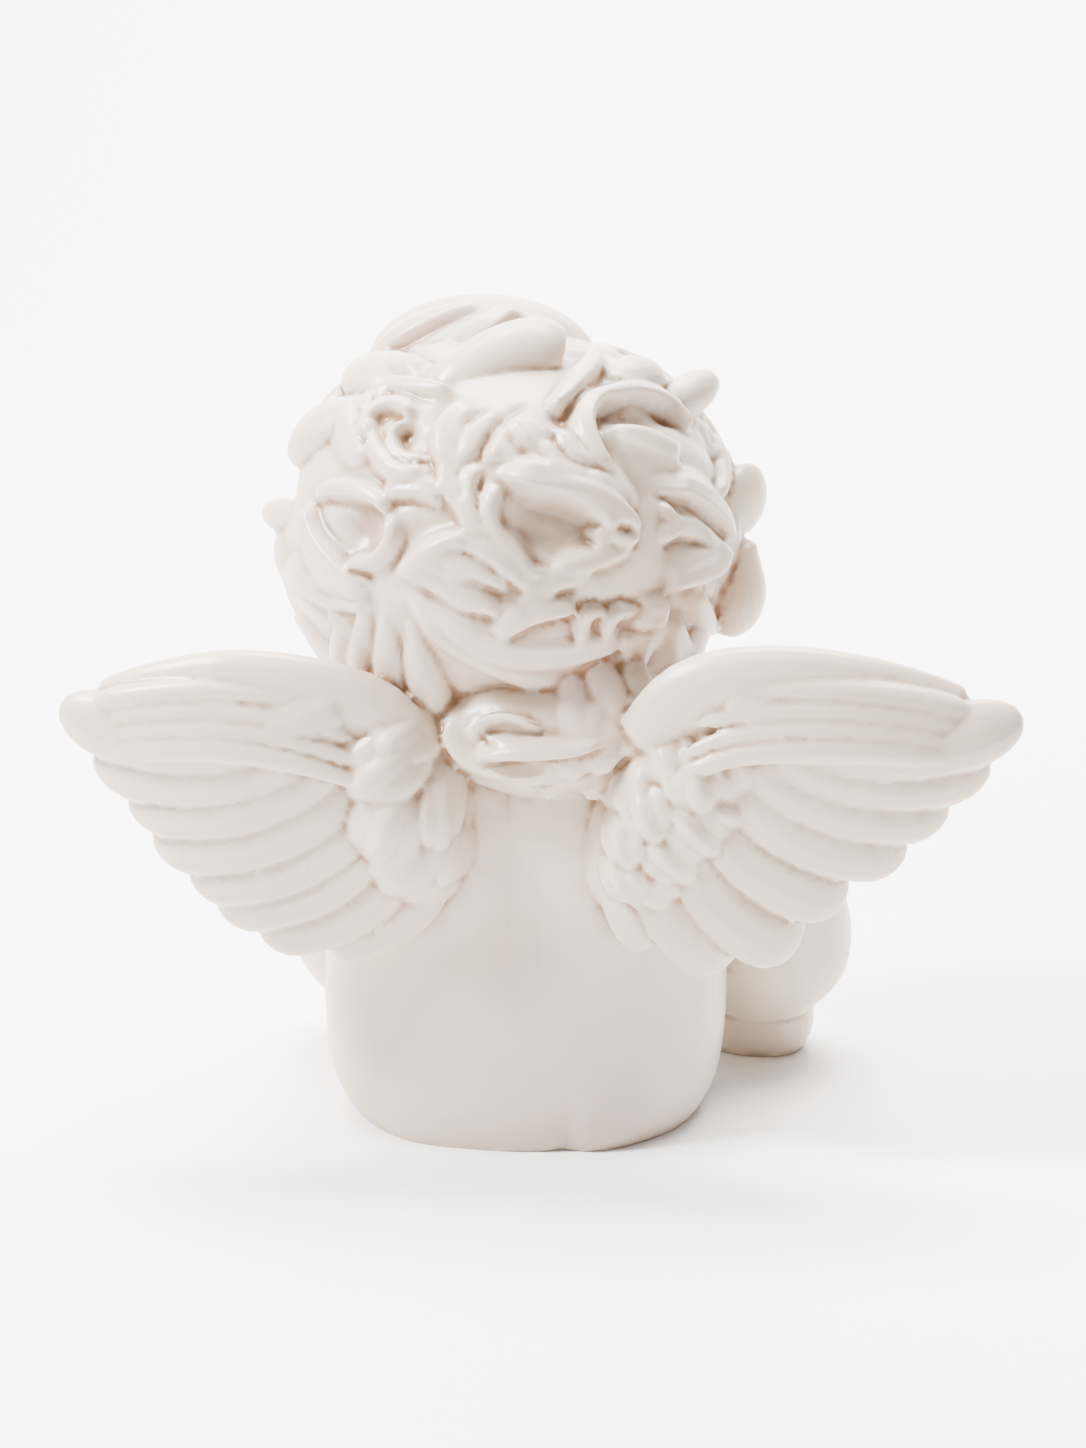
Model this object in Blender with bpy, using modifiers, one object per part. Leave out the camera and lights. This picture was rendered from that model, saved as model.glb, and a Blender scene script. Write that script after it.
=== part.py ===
"""A winged putto, half length, resting on its forearms: a small figure cast in one piece.

Metres, +Z up, standing on z = 0. The figure faces -Y, so its own right is -X.
Its forms are given in figure millimetres, which are shares of HEIGHT: see mm().
"""

from math import acos, atan2, cos, pi, radians, sin

import bmesh
import bpy
import numpy as np
from mathutils import Matrix, Vector

# Driving sizes, in metres
HEIGHT = 0.120
WINGSPAN = 0.131
FEATHER_THICKNESS = 0.0046

# How finely the forms are joined, and how many triangles the finished figure keeps
GRAIN = 0.0008
TRIANGLES = 9600

# One figure millimetre: the figure is 120 of them high, and 131 wide over its wings
UNIT = HEIGHT / 120


def mm(length):
    """A length in figure millimetres, as metres."""
    return length * UNIT


def at(x, y, z):
    return Vector((mm(x), mm(y), mm(z)))


def blend(a, b, share):
    return a + (b - a) * share


def ease(share):
    share = min(max(share, 0.0), 1.0)
    return share * share * (3 - 2 * share)


def smooth_route(points, steps):
    """A Catmull-Rom line through rows of numbers, as steps + 1 rows."""
    ends = [points[0]] + list(points) + [points[-1]]
    rows = []
    for step in range(steps + 1):
        place = step / steps * (len(points) - 1)
        leg = min(int(place), len(points) - 2)
        t = place - leg
        row = []
        for a, b, c, d in zip(*ends[leg : leg + 4]):
            bend = (2 * a - 5 * b + 4 * c - d) * t * t + (3 * b - a - 3 * c + d) * t**3
            row.append(0.5 * (2 * b + (c - a) * t + bend))
        rows.append(row)
    return rows


def gather(body, form):
    """Adds one closed form to the body; a remesh makes one skin of them all."""
    mesh = bpy.data.meshes.new("form")
    form.to_mesh(mesh)
    form.free()
    body.from_mesh(mesh)
    bpy.data.meshes.remove(mesh)


def blob(body, centre, radii, turn=(0, 0, 0)):
    """An ellipsoid, its radii in figure millimetres and its turn in degrees."""
    around = Matrix.Identity(4)
    for axis, angle in zip("XYZ", turn):
        around = Matrix.Rotation(radians(angle), 4, axis) @ around
    size = Matrix.Diagonal((mm(radii[0]), mm(radii[1]), mm(radii[2]), 1))
    form = bmesh.new()
    place = Matrix.Translation(centre) @ around @ size
    bmesh.ops.create_uvsphere(form, u_segments=24, v_segments=16, radius=1, matrix=place)
    gather(body, form)


def skin(body, stations, sides=16, square=1.0, swell=None):
    """A sphere stretched over stations: (centre, half width, half thickness, normal) from end to end.

    swell takes each point of it to where it should be.
    """
    last = len(stations) - 1
    form = bmesh.new()
    made = bmesh.ops.create_uvsphere(form, u_segments=sides, v_segments=last, radius=1)["verts"]
    frames = []
    for index, (centre, width, thickness, normal) in enumerate(stations):
        before = stations[max(index - 1, 0)][0]
        after = stations[min(index + 1, last)][0]
        along = (after - before).normalized()
        side = along.cross(normal).normalized()
        frames.append((centre, side * width, side.cross(along).normalized() * thickness))
    for vert in made:
        ring = round(acos(max(-1.0, min(1.0, vert.co.z))) / pi * last)
        centre, across, through = frames[ring]
        if ring in (0, last):
            vert.co = centre
            continue
        angle = atan2(vert.co.y, vert.co.x)
        c, s = cos(angle), sin(angle)
        c = abs(c) ** square * (1 if c > 0 else -1)
        s = abs(s) ** square * (1 if s > 0 else -1)
        vert.co = centre + across * c + through * s
        if swell:
            vert.co = swell(vert.co)
    gather(body, form)


def limb(body, points, steps=24, flat=1.0, normal=(0, 1, 0)):
    """A round limb through (x, y, z, radius) points in figure millimetres, its ends closed."""
    stations = []
    for x, y, z, r in smooth_route(points, steps):
        stations.append([at(x, y, z), mm(r), mm(r) * flat, Vector(normal)])
    for end in (stations[0], stations[-1]):
        end[1] = end[2] = 0
    skin(body, stations, sides=28)


# Relief: strokes raised and hollowed on a shell

def on_sphere(lon, lat):
    """A place of the unit sphere, in degrees seen from behind, with lon to the figure's right."""
    lon, lat = radians(lon), radians(lat)
    return Vector((-sin(lon) * cos(lat), cos(lon) * cos(lat), sin(lat)))


def sweep(lon, lat, to_lon, to_lat, leave, arrive, steps=14):
    """A curved way over the unit sphere between two places, as rows of place and heading.

    It leaves turned by leave degrees, clockwise from the straight way, and comes in turned by arrive.
    """
    start, end = on_sphere(lon, lat), on_sphere(to_lon, to_lat)
    outward = (start + end).normalized()
    reach = (end - start) / 3 * (1 + (abs(leave) + abs(arrive)) / 180)
    first = start + Matrix.Rotation(radians(-leave), 3, outward) @ reach
    last = end - Matrix.Rotation(radians(-arrive), 3, outward) @ reach
    places = []
    for step in range(steps + 1):
        t = step / steps
        place = start * (1 - t) ** 3 + first * (3 * t * (1 - t) ** 2)
        places.append((place + last * (3 * t * t * (1 - t)) + end * t**3).normalized())
    rows = [(a, (b - a).normalized()) for a, b in zip(places, places[1:])]
    return rows + [(places[-1], rows[-1][1])]


def walk(lon, lat, heading, length, turn, curl, steps=14):
    """A walk over the unit sphere, as rows of place and heading.

    lon and lat say where it starts, seen from behind, with lon to the figure's right. heading is
    clockwise from up. length, turn and curl are in degrees: how far the walk goes, and how fast it
    turns at its start and at its end.
    """
    p = on_sphere(lon, lat)
    lon, lat, heading = radians(lon), radians(lat), radians(heading)
    east = Vector((-cos(lon), -sin(lon), 0))
    north = Vector((sin(lon) * sin(lat), -cos(lon) * sin(lat), cos(lat)))
    ahead = north * cos(heading) + east * sin(heading)
    stride = radians(length) / steps
    rows = []
    for step in range(steps + 1):
        share = step / steps
        rows.append((p.copy(), ahead.copy()))
        p, ahead = p * cos(stride) + ahead * sin(stride), ahead * cos(stride) - p * sin(stride)
        rate = radians(turn + (curl - turn) * share * share) / steps
        ahead = Matrix.Rotation(-rate, 3, p) @ ahead
        p.normalize()
    return rows


def nearest_on(places, rows):
    """For each place of a unit sphere: how far right of the walk it is, and how far along."""
    nearest = np.full(len(places), 9.0)
    signed = np.zeros(len(places))
    share = np.zeros(len(places))
    for index in range(len(rows) - 1):
        p, ahead = rows[index]
        side = np.array(ahead.cross(p))
        reach = (rows[index + 1][0] - p).length
        away = places - np.array(p)
        along = np.clip(away @ np.array(ahead), 0, reach)
        gap = away - along[:, None] * np.array(ahead)
        far = np.linalg.norm(gap, axis=1)
        closer = far < nearest
        nearest = np.where(closer, far, nearest)
        signed = np.where(closer, np.where(gap @ side < 0, -far, far), signed)
        share = np.where(closer, (index + along / reach) / (len(rows) - 1), share)
    return signed, share


def eased(values):
    values = np.clip(values, 0, 1)
    return values * values * (3 - 2 * values)


def lay(height, places, rows, half, level):
    """Lays one band of hair over the relief that is there, and gives the new relief.

    The rows are its sharp lip, with a groove beyond it. The band lies left of them if half is
    positive, else right, and blends in softly there. half is in radians of the sphere.
    """
    signed, share = nearest_on(places, rows)
    wide = abs(half) * (0.3 + 0.8 * np.sin(pi * (0.1 + 0.82 * share)) ** 0.8)
    across = 1 + signed / wide * (1 if half > 0 else -1)
    over = np.where(across > 0, eased((1.12 - across) / 0.3), eased((across + 1.7) / 1.3))
    ends = eased(share / 0.2) * eased((1 - share) / 0.12)
    crown = level * (1 - 0.22 * (across - 0.5) ** 2 + 0.07 * np.cos(7 * across + 3 * share))
    groove = 0.2 * level * np.exp(-(((across - 1.4) / 0.3) ** 2))
    return height + ends * (over * (crown - height) - groove)


def shell(body, centre, radii, height_at, fineness=6, lean=0.0):
    """An ellipsoid whose surface stands height_at(unit places) outside its radii, all in metres.

    lean moves it sideways as it rises.
    """
    form = bmesh.new()
    verts = bmesh.ops.create_icosphere(form, subdivisions=fineness, radius=1)["verts"]
    places = np.array([vert.co[:] for vert in verts])
    places /= np.linalg.norm(places, axis=1)[:, None]
    points = places * (np.array(radii) + height_at(places)[:, None])
    points[:, 0] += lean * points[:, 2]
    points += np.array(centre)
    for vert, point in zip(verts, points):
        vert.co = point
    bmesh.ops.smooth_vert(
        form, verts=form.verts, factor=0.5, use_axis_x=True, use_axis_y=True, use_axis_z=True
    )
    gather(body, form)


# The skull under the hair: the hair is laid over it
SKULL = at(4, -4, 86)
SKULL_RADII = (mm(30), mm(31), mm(26))
HAIR = 3.4

# Bands of hair, the lowest first: the sweep of the lip, then half width and level in figure mm
WAVES = (
    # long sweeps under the back of the head
    (-18, -6, 38, -37, 30, -25, 5.0, 2.4),
    (23, -38, 47, -10, 55, -65, 4.0, 2.5),
    (-11, -12, 40, -22, 50, 145, 2.6, 2.9),
    (4, -19, 24, -12, -10, 25, 1.8, 3.2),
    # swirl and small curls low on the right
    (74, 2, 47, -9, -80, 5, -3.4, 3.7),
    (48, -9, 40, -17, -55, 115, -2.4, 4.1),
    (41, -12, 36, -25, 115, -105, 1.2, 3.9),
    (32, -11, 27, -25, 120, -75, 1.2, 3.5),
    (60, -7, 85, -29, 50, 90, -2.2, 3.0),
    (54, -14, 83, -36, 90, 15, -2.4, 3.4),
    (46, 19, 75, -2, -20, 25, 2.2, 2.7),
    (46, 5, 68, -1, -85, -15, 1.4, 2.9),
    (50, 17, 62, 6, 80, 10, -1.1, 3.0),
    # floor of the wide hollow, its rims, and the hooked lock over it
    (10, 21, 27, 5, 60, -60, -4.0, -0.5),
    (1, 30, 7, 5, 35, -30, -1.6, 2.7),
    (7, 24, 19, 1, -160, -65, -1.5, 3.2),
    (7, 30, 32, 8, 35, 20, 3.0, 3.7),
    (21, 27, 31, 7, -50, 135, -1.6, 4.2),
    (11, 2, 26, 10, 60, -75, -1.4, 2.7),
    (15, -10, 38, 4, -50, -125, 1.5, 2.9),
    (10, -11, 25, -4, -15, 25, 1.2, 2.5),
    # middle of the crown
    (-8, 51, -11, 24, 45, 160, 2.2, 2.5),
    (3, 47, -6, 29, -5, -80, 1.3, 2.9),
    (17, 47, 0, 30, 25, -20, 2.2, 2.5),
    (7, 43, 26, 25, 40, -30, 2.4, 2.7),
    (15, 35, 30, 24, 90, 150, 1.2, 3.4),
    (20, 39, 33, 26, 45, -50, 1.2, 3.7),
    # ring on the right, what lies in it, and the straps beyond it
    (38, 39, 64, 31, -5, 15, -3.6, 2.2),
    (37, 26, 57, 47, -65, 55, 1.5, 4.1),
    (43, 46, 72, 33, -30, 55, 1.5, 4.1),
    (87, 41, 74, 15, -110, 50, 1.8, 3.2),
    (86, 67, 21, 42, -25, 15, -1.6, 4.1),
    (88, 65, 100, 39, -65, 15, 2.2, 2.9),
    (53, 55, 84, 43, 95, 40, 1.5, 2.4),
    # left of the crown, down to the small round curl
    (-89, 48, -38, 64, -60, 75, -2.5, 3.2),
    (-45, 43, -13, 53, -125, 45, -1.4, 3.0),
    (-43, 47, -17, 46, 50, 120, -1.2, 2.4),
    (-67, 47, -33, 28, 105, 30, -1.6, 2.5),
    (-15, 27, -36, 36, -35, 20, 1.3, 3.9),
    (-33, 33, -25, 41, -110, 105, 1.3, 3.9),
    (-24, 40, -15, 30, 105, -65, -0.8, 2.9),
    (-13, 30, -7, 17, -20, -50, 1.4, 2.4),
    # left side, with the open curl
    (-76, -13, -29, -14, 45, 110, 2.8, 2.0),
    (-74, -20, -54, -36, 90, 50, 1.6, 2.4),
    (-47, -17, -43, -33, 155, 85, 1.6, 2.4),
    (-37, 3, -24, 8, -145, -85, 3.6, -0.7),
    (-51, 14, -23, 14, -90, -15, 1.8, 2.9),
    (-26, 17, -11, 17, -25, 10, 1.6, 2.5),
    (-51, 15, -28, -6, 20, 5, -1.6, 3.7),
    (-25, 14, -34, 2, -55, 45, 1.4, 3.2),
    # leaf-shaped lock on the left
    (7, 13, -21, -2, -145, -45, 4.6, 3.2),
    (7, 13, 14, -5, 5, 35, -1.6, 2.9),
    (-10, 3, 6, -5, -10, 0, 1.3, 3.5),
    (-14, -3, 4, -12, 75, 10, 1.5, 3.4),
    (-5, 7, 9, -4, -30, -5, 1.2, 3.5),
)

# Locks that stand off the head: lon, lat and height over the hair at the root and at the tip,
# then width and thickness
LOBES = (
    # right side, from the top
    (56, 59, 0.8, 86, 50, 2.6, 7.5, 5.5),
    (70, 44, 0.0, 96, 40, 7.8, 6.4, 6.2),
    (84, 26, 0.0, 95, 19, 1.4, 6.0, 5.0),
    (80, 4, 0.5, 98, 13, 6.2, 10.5, 5.0),
    (86, 0, 4.0, 90, -28, 4.4, 10.5, 9.0),
    (72, -15, 1.0, 66, -40, 1.6, 9.0, 6.0),
    # left side, from the top
    (-40, 62, -1.0, -92, 50, 3.2, 10.0, 6.0),
    (-52, 46, 0.2, -80, 25, 1.6, 10.5, 6.4),
    (-58, 23, -2.6, -78, 19, -2.2, 5.0, 5.0),
    (-62, 8, -0.8, -85, 5, 3.6, 5.0, 5.2),
    (-60, 0, -0.6, -82, -8, 0.6, 10.0, 6.0),
    (-74, -15, 0.0, -58, -40, 0.6, 10.0, 6.0),
    # the fan of locks that hangs at the left of the neck
    (-34, -10, 0.0, -50, -40, 3.4, 6.4, 6.4),
    (-30, -9, 0.6, -40, -46, 4.6, 6.2, 6.6),
    (-25, -10, 0.6, -29, -50, 5.2, 6.2, 6.8),
    (-19, -13, 0.2, -17, -51, 5.0, 6.2, 6.6),
)


def over_hair(lon, lat, high):
    """A place over the hair and the way out of the head there."""
    p = on_sphere(lon, lat)
    radii = [radius + mm(HAIR + high) for radius in SKULL_RADII]
    place = SKULL + Vector(a * b for a, b in zip(p, radii))
    return place, Vector(a / b for a, b in zip(p, radii)).normalized()


def opened(t, slow, quick):
    """The breadth along a lock or feather: it opens over the share slow and rounds off over quick."""
    if t in (0, 1):
        return 0
    full = 0.4 + 0.6 * ease(t / slow)
    if t > 1 - quick:
        full *= (1 - ((t - 1 + quick) / quick) ** 2) ** 0.5
    return full


def lobe(body, lon, lat, high, tip_lon, tip_lat, tip_high, width, thick):
    stations = []
    for step in range(17):
        t = step / 16
        rise = blend(high, tip_high, t * t) - thick * 0.3
        centre, outward = over_hair(blend(lon, tip_lon, t), blend(lat, tip_lat, t), rise)
        full = opened(t, 0.6, 0.35)
        stations.append((centre, mm(width) / 2 * full, mm(thick) / 2 * full, outward))
    skin(body, stations)


def lock(body, lon, lat, heading, length, turn, curl, width, thick, tip):
    """A curling lock laid over the hair, broad in its middle, with its end lifted off the head."""
    stations = []
    rows = walk(lon, lat, heading, length, turn, curl)
    for index, (p, ahead) in enumerate(rows):
        t = index / (len(rows) - 1)
        lift = mm(HAIR + thick * -0.35 + tip * t * t)
        centre = SKULL + Vector(a * (b + lift) for a, b in zip(p, SKULL_RADII))
        outward = Vector(a / b for a, b in zip(p, SKULL_RADII)).normalized()
        full = sin(pi * (0.04 + 0.94 * t**0.8)) ** 0.5 if 0 < t < 1 else 0
        stations.append((centre, mm(width) / 2 * full, mm(thick) / 2 * full, outward))
    skin(body, stations, sides=12)


def hair_height(places):
    """The cap of hair: thick behind a scalloped hairline, and sunk inside the face before it."""
    beside = np.degrees(np.arctan2(np.abs(places[:, 0]), -places[:, 1]))
    up = np.degrees(np.arcsin(np.clip(places[:, 2], -1, 1)))
    around = np.arctan2(up + 20, beside * np.sign(places[:, 0]))
    edge = np.hypot(beside / 50, (up + 22) / 58) + 0.03 * np.sin(around * 13)
    cover = np.clip((edge - 0.92) / 0.2, 0, 1)
    height = mm(HAIR + 5) * cover * cover * (3 - 2 * cover) - mm(5)
    # the crown is a little flat, and a notch in the outline on the left lies behind the ear
    height -= mm(1.6) * np.exp(-((1 - places[:, 2]) / 0.12))
    notch = np.array(over_hair(-84, 9, 0)[0] - SKULL) / np.array(SKULL_RADII)
    notch /= np.linalg.norm(notch)
    height -= mm(8.5) * np.exp(-((1 - places @ notch) / 0.016))
    return height + relief_of(places, side_waves() + WAVES, SKULL_RADII[0]) - mm(1.2)


def side_waves():
    """Plainer bands for the temples and the front of the crown, each row falling the other way."""
    waves = []
    for row, (lat, count) in enumerate(((66, 5), (44, 7), (22, 8), (0, 8), (-22, 7))):
        for index in range(count):
            lon = 92 + 176 * (index + 0.5 * (row % 2)) / (count - 0.5)
            if abs(lon - 180) < 58 - abs(lat + 20) * 0.3 and lat < 36:
                continue
            turn = 1 if (index + row) % 2 else -1
            lip = (lon - 12 * turn, lat + 16, lon + 4 * turn, lat - 10)
            waves.append((*lip, 50 * turn, -60 * turn, -3.2 * turn, 2.2))
            waves.append((*lip[2:], lon - 9 * turn, lat - 2, 70 * turn, -80 * turn, -1.6 * turn, 2.6))
    return tuple(waves)


def front_curls(body):
    """A row of short curls round the hairline, each a small scroll."""
    for index in range(11):
        turn = 1 if index % 2 else -1
        angle = radians(-20 + index * 22)
        lon = 180 + 56 * cos(angle)
        lat = -22 + 64 * sin(angle)
        lock(body, lon, lat, 150 * turn, 26, 90 * turn, 700 * turn, 6.5, 5.5, 0.8)


def hair(body):
    shell(body, SKULL, SKULL_RADII, hair_height)
    for recipe in LOBES:
        lobe(body, *recipe)
    front_curls(body)
    shell(body, TUFT, TUFT_RADII, tuft_height, 5)
    roll = (
        (-3.5, 4, 111.8, 4.2),
        (-1, 5, 112.6, 5.4),
        (4, 7, 111.8, 5.4),
        (9, 10, 109.4, 4.4),
        (13, 11.5, 106.8, 2.8),
    )
    limb(body, roll)


# The tuft on the top of the head
TUFT = at(8.5, -11, 109.7)
TUFT_RADII = (mm(16), mm(10), mm(9.2))
TUFT_WAVES = (
    (-65, 0, 10, 60, 15, -15, 3.0, 1.8),
    (-40, -12, 40, 55, 20, -20, 2.6, 2.0),
    (-12, -14, 60, 40, 20, -20, 2.4, 1.8),
    (20, -14, 75, 20, 10, -20, 2.0, 1.9),
)


def relief_of(places, waves, radius):
    relief = np.full(len(places), mm(1))
    for *way, half, level in waves:
        relief = lay(relief, places, sweep(*way), mm(half) / radius, mm(level))
    return relief


def tuft_height(places):
    return relief_of(places, TUFT_WAVES, TUFT_RADII[0])


# The cluster of curls on the nape, a small shell of its own
NAPE = at(-4.5, 15.5, 61)
NAPE_RADII = (mm(17.5), mm(12), mm(9))
NAPE_WAVES = (
    # the spiral on the left, from its outer turn to its leaf-shaped tip
    (-52, 32, 12, -26, 50, -50, 3.6, 2.6),
    (-38, 24, 4, -14, 55, -60, 2.4, 3.2),
    (-28, 2, 4, 6, -75, 75, -1.6, 3.4),
    (-22, -16, 24, 8, -25, -20, 2.4, 3.6),
    # locks that hang to the right of it
    (16, 46, 14, -30, -25, 20, -2.2, 2.8),
    (30, 48, 26, -26, -25, 20, -2.2, 3.2),
    (46, 48, 40, -14, -30, 25, -2.6, 3.6),
    (66, 42, 58, 4, -40, 35, -2.6, 4.0),
)


def nape_height(places):
    return relief_of(places, NAPE_WAVES, NAPE_RADII[0])


def head(body):
    """Skull, face and neck. The face is plain: its features sit on the old measure of thirds."""
    blob(body, SKULL, (29, 30, 26))
    shell(body, FACE, FACE_RADII, face_height)
    blob(body, at(3, 2, 62), (15, 14, 13))
    blob(body, at(3, -14, 61), (14, 12, 7))
    shell(body, NAPE, NAPE_RADII, nape_height, 5)


FACE = at(4, -18, 82)
FACE_RADII = (mm(24), mm(19), mm(21))


def face_height(places):
    """Brow, eyes, nose, mouth, chin and cheeks as soft mounds on the face's ellipsoid."""
    beside = places[:, 0] * 24
    up = places[:, 2] * 21
    front = np.clip(-places[:, 1], 0, 1)

    def mound(x, z, wide, tall, rise):
        return rise * np.exp(-(((np.abs(beside) - x) / wide) ** 2) - ((up - z) / tall) ** 2)

    height = mound(0, -16, 6, 4.5, 3.4)
    height += mound(12, -8, 7, 7, 3.0)
    height += mound(0, -3, 2.4, 3.6, 3.6) + mound(0, 2, 1.8, 5, 1.6) + mound(2.6, -5.2, 1.5, 1.3, 1.2)
    height -= mound(8.4, 2.2, 4.6, 2.8, 2.4)
    height += mound(8.4, 1.7, 3.0, 1.9, 1.9)
    height += mound(8.0, 6.6, 5.5, 1.6, 0.7)
    height += mound(0, -9.2, 3.6, 1.0, 1.5) + mound(0, -12.0, 2.8, 1.1, 1.7)
    height -= mound(0, -10.6, 4.2, 0.5, 0.9)
    height -= mound(0, -13.8, 3.6, 0.9, 0.9)
    return height * mm(1) * front


def torso(body):
    """The trunk, from the rounded base to the neck, with its soft places swelled."""
    wide = mm(30)
    deep = mm(23)
    # height, then half width and half depth as shares, and the shift back
    sections = (
        (-5, 0.60, 0.66, 0),
        (-1, 0.82, 0.84, 0),
        (4, 0.935, 0.95, 0),
        (10, 0.985, 1.0, 0),
        (20, 1.0, 1.0, 0),
        (32, 0.97, 0.96, 0),
        (44, 0.92, 0.92, 1),
        (54, 0.84, 0.88, 1),
        (62, 0.70, 0.76, 0),
        (69, 0.46, 0.54, -1),
        (76, 0.30, 0.36, -3),
    )
    # x, height, reach across and up, and how far each place stands out to the front
    front_mounds = ((1, 16, 17, 13, 6.0), (-11, 45, 10, 8, 3.4), (13, 45, 10, 8, 3.4), (1, 31, 4, 8, -1.2))
    back_mounds = ((-15, 46, 11, 17, 3.0), (17, 46, 11, 17, 3.0), (1, 40, 3.5, 26, -0.5))
    foot_lobes = ((2, 13, 1.3), (-13, 9, 1.0), (-6.5, 2.6, -0.6), (16, 7, 0.8))

    def swell(co):
        x, z = co.x / mm(1), co.z / mm(1)
        facing = co.y / deep
        push = 0
        for mx, mz, across, up, rise in front_mounds if facing < 0 else back_mounds:
            push += rise * np.exp(-(((x - mx) / across) ** 2) - ((z - mz) / up) ** 2) * abs(facing)
        lower = 0
        for mx, across, drop in foot_lobes:
            lower += drop * np.exp(-(((x - mx) / across) ** 2)) * ease(facing) * ease((14 - z) / 14)
        push += 2 * lower
        return co + Vector((0, mm(push) * (1 if facing > 0 else -1), -mm(lower)))

    stations = []
    for z, across, through, back in smooth_route(sections, 40):
        stations.append((at(1, back, z), wide * across, deep * through, Vector((0, 1, 0))))
    skin(body, stations, sides=56, square=0.8, swell=swell)


def arm(body, side, elbow_out, elbow_forward):
    """Shoulder, plump upper arm, forearm laid on the ground and the open hand at its end."""
    x, y = side * elbow_out + 1, -elbow_forward
    upper = (
        (side * 15 + 1, -2, 60, 7),
        (side * 20 + 1, -5, 54, 11.5),
        (side * 25 + 1, -11, 44, 12.8),
        (blend(side * 26 + 1, x, 0.6), blend(-10, y, 0.6), 32, 13),
        (x, y, 20, 14),
        (x, y - 2, 12, 11.5),
        (x, y - 3, 6, 6),
    )
    limb(body, upper)
    lower = (
        (x - side * 1, y + 4, 3, 4),
        (x - side * 1, y, 4.5, 9),
        (x - side * 3, y - 8, 5.5, 10.4),
        (x - side * 9, y - 18, 5, 8.8),
        (x - side * 13, y - 25, 4, 6.4),
        (x - side * 15, y - 29, 3, 5.5),
    )
    limb(body, lower, flat=0.9, normal=(0, 0, 1))
    palm = at(x - side * 16, y - 32, 3)
    blob(body, palm, (6.4, 7, 4.2), (0, 0, side * 20))
    for finger in range(4):
        spread = finger - 1.5
        knuckle = palm + at(-side * 1.6 + spread * 3.1, -4 + abs(spread) * 0.7, 0.6)
        tip = knuckle + at(-side * 1.5 + spread * 0.6, -9.4 + abs(spread) * 1.1, -2.0)
        digit(body, knuckle, tip, 2.1)
    digit(body, palm + at(-side * 4.5, 1, 0), palm + at(-side * 8.5, -4.5, -1.4), 2.3)


def digit(body, start, end, radius):
    stations = []
    for step in range(11):
        share = step / 10
        bend = at(0, 0, 1.3) * sin(pi * share)
        full = mm(radius) * (1 - 0.18 * share) * sin(pi * (0.04 + 0.92 * share)) ** 0.4
        if step in (0, 10):
            full = 0
        stations.append((blend(start, end, share) + bend, full, full, Vector((0, 0, 1))))
    skin(body, stations, sides=10)


# Each wing in its own plane, as (outward from the spine, height), from the top feather down
WINGS = {
    -1: {
        "inner": ((23, 70), (18.5, 63), (12.5, 56.5), (8.5, 50), (10, 42), (15, 37)),
        "roots": ((31, 69), (32, 64), (29, 57), (24, 50), (18, 45)),
        "tips": (
            (69.6, 66.3),
            (65.4, 60),
            (60, 54),
            (54.5, 48),
            (46.5, 41),
            (40, 33),
            (31, 30.5),
            (22, 33),
        ),
        "lead": ((17, 62), (23, 68.6), (30, 71.6), (41, 72.4), (53, 71), (63, 68.5)),
    },
    1: {
        "inner": ((19, 69), (14.5, 64), (11.5, 57), (10, 48), (11.5, 41), (15, 37)),
        "roots": ((25, 67), (24, 62), (21, 55), (18, 49), (13, 43)),
        "tips": (
            (63.6, 65.3),
            (59, 58.3),
            (54.2, 52.5),
            (51, 47),
            (46, 42),
            (42.6, 38.2),
            (37, 34.5),
            (28, 33),
        ),
        "lead": ((13, 60), (19, 66), (28, 69), (39, 70.4), (50, 69.2), (59, 67.2)),
    },
}


# The soft short feathers over the roots of the long ones: outward, height, half length and width, slant
COVERTS = {
    -1: (
        (35, 68, 5.6, 3.2, 15),
        (27, 66, 5.2, 3.8, 20),
        (20, 62, 4.8, 4.2, 45),
        (37, 62, 5.0, 2.8, 35),
        (31, 59, 5.2, 4.0, 50),
        (25, 58, 4.6, 3.8, 60),
        (15, 57, 4.0, 3.8, 60),
        (31, 52, 5.6, 3.2, 15),
        (25, 51, 4.6, 3.2, 40),
        (19, 53, 3.8, 3.2, 50),
        (31, 47, 5.6, 3.0, 10),
        (27, 43, 5.2, 3.0, 10),
        (22, 47, 3.8, 3.2, 30),
        (16, 49, 3.4, 2.8, 60),
        (16, 43, 3.4, 2.8, 45),
        (21, 40, 4.6, 3.0, 20),
    ),
    1: (
        (23, 67, 5.2, 3.2, 10),
        (26, 63, 5.2, 3.8, 20),
        (14, 63, 5.2, 4.2, 30),
        (24, 59, 5.0, 3.0, 20),
        (17, 58, 5.2, 4.2, 30),
        (17, 50, 4.8, 4.4, 60),
        (10, 52, 4.8, 2.6, 80),
        (14, 43, 5.6, 4.2, 20),
        (9, 45, 3.4, 3.2, 60),
        (12, 38, 4.6, 3.2, 20),
    ),
}


# The cushion under them: outward, height, half width, half height, and its lean outwards
CUSHIONS = {-1: (24, 53, 13, 18, 0.45), 1: (17, 53, 11, 17, 0.2)}


def covert_height(side):
    """Low domes like scales over the cushion, each highest towards its tip."""
    out, high, wide, tall, lean = CUSHIONS[side]

    def height_at(places):
        z = high + places[:, 2] * tall
        x = out + side * places[:, 0] * wide + lean * (z - high)
        height = np.zeros(len(places))
        for ox, oz, long, width, slant in COVERTS[side]:
            c, s = cos(radians(slant)), sin(radians(slant))
            u = ((x - ox) * c - (z - oz) * s) / (long * 1.25)
            v = ((x - ox) * s + (z - oz) * c) / (width * 1.25)
            dome = np.sqrt(np.clip(1 - u * u - v * v, 0, 1)) * (1 + 0.35 * u)
            height = np.maximum(height, dome)
        return height * mm(2.8) * np.clip(places[:, 1], 0, 1)

    return height_at


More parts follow.
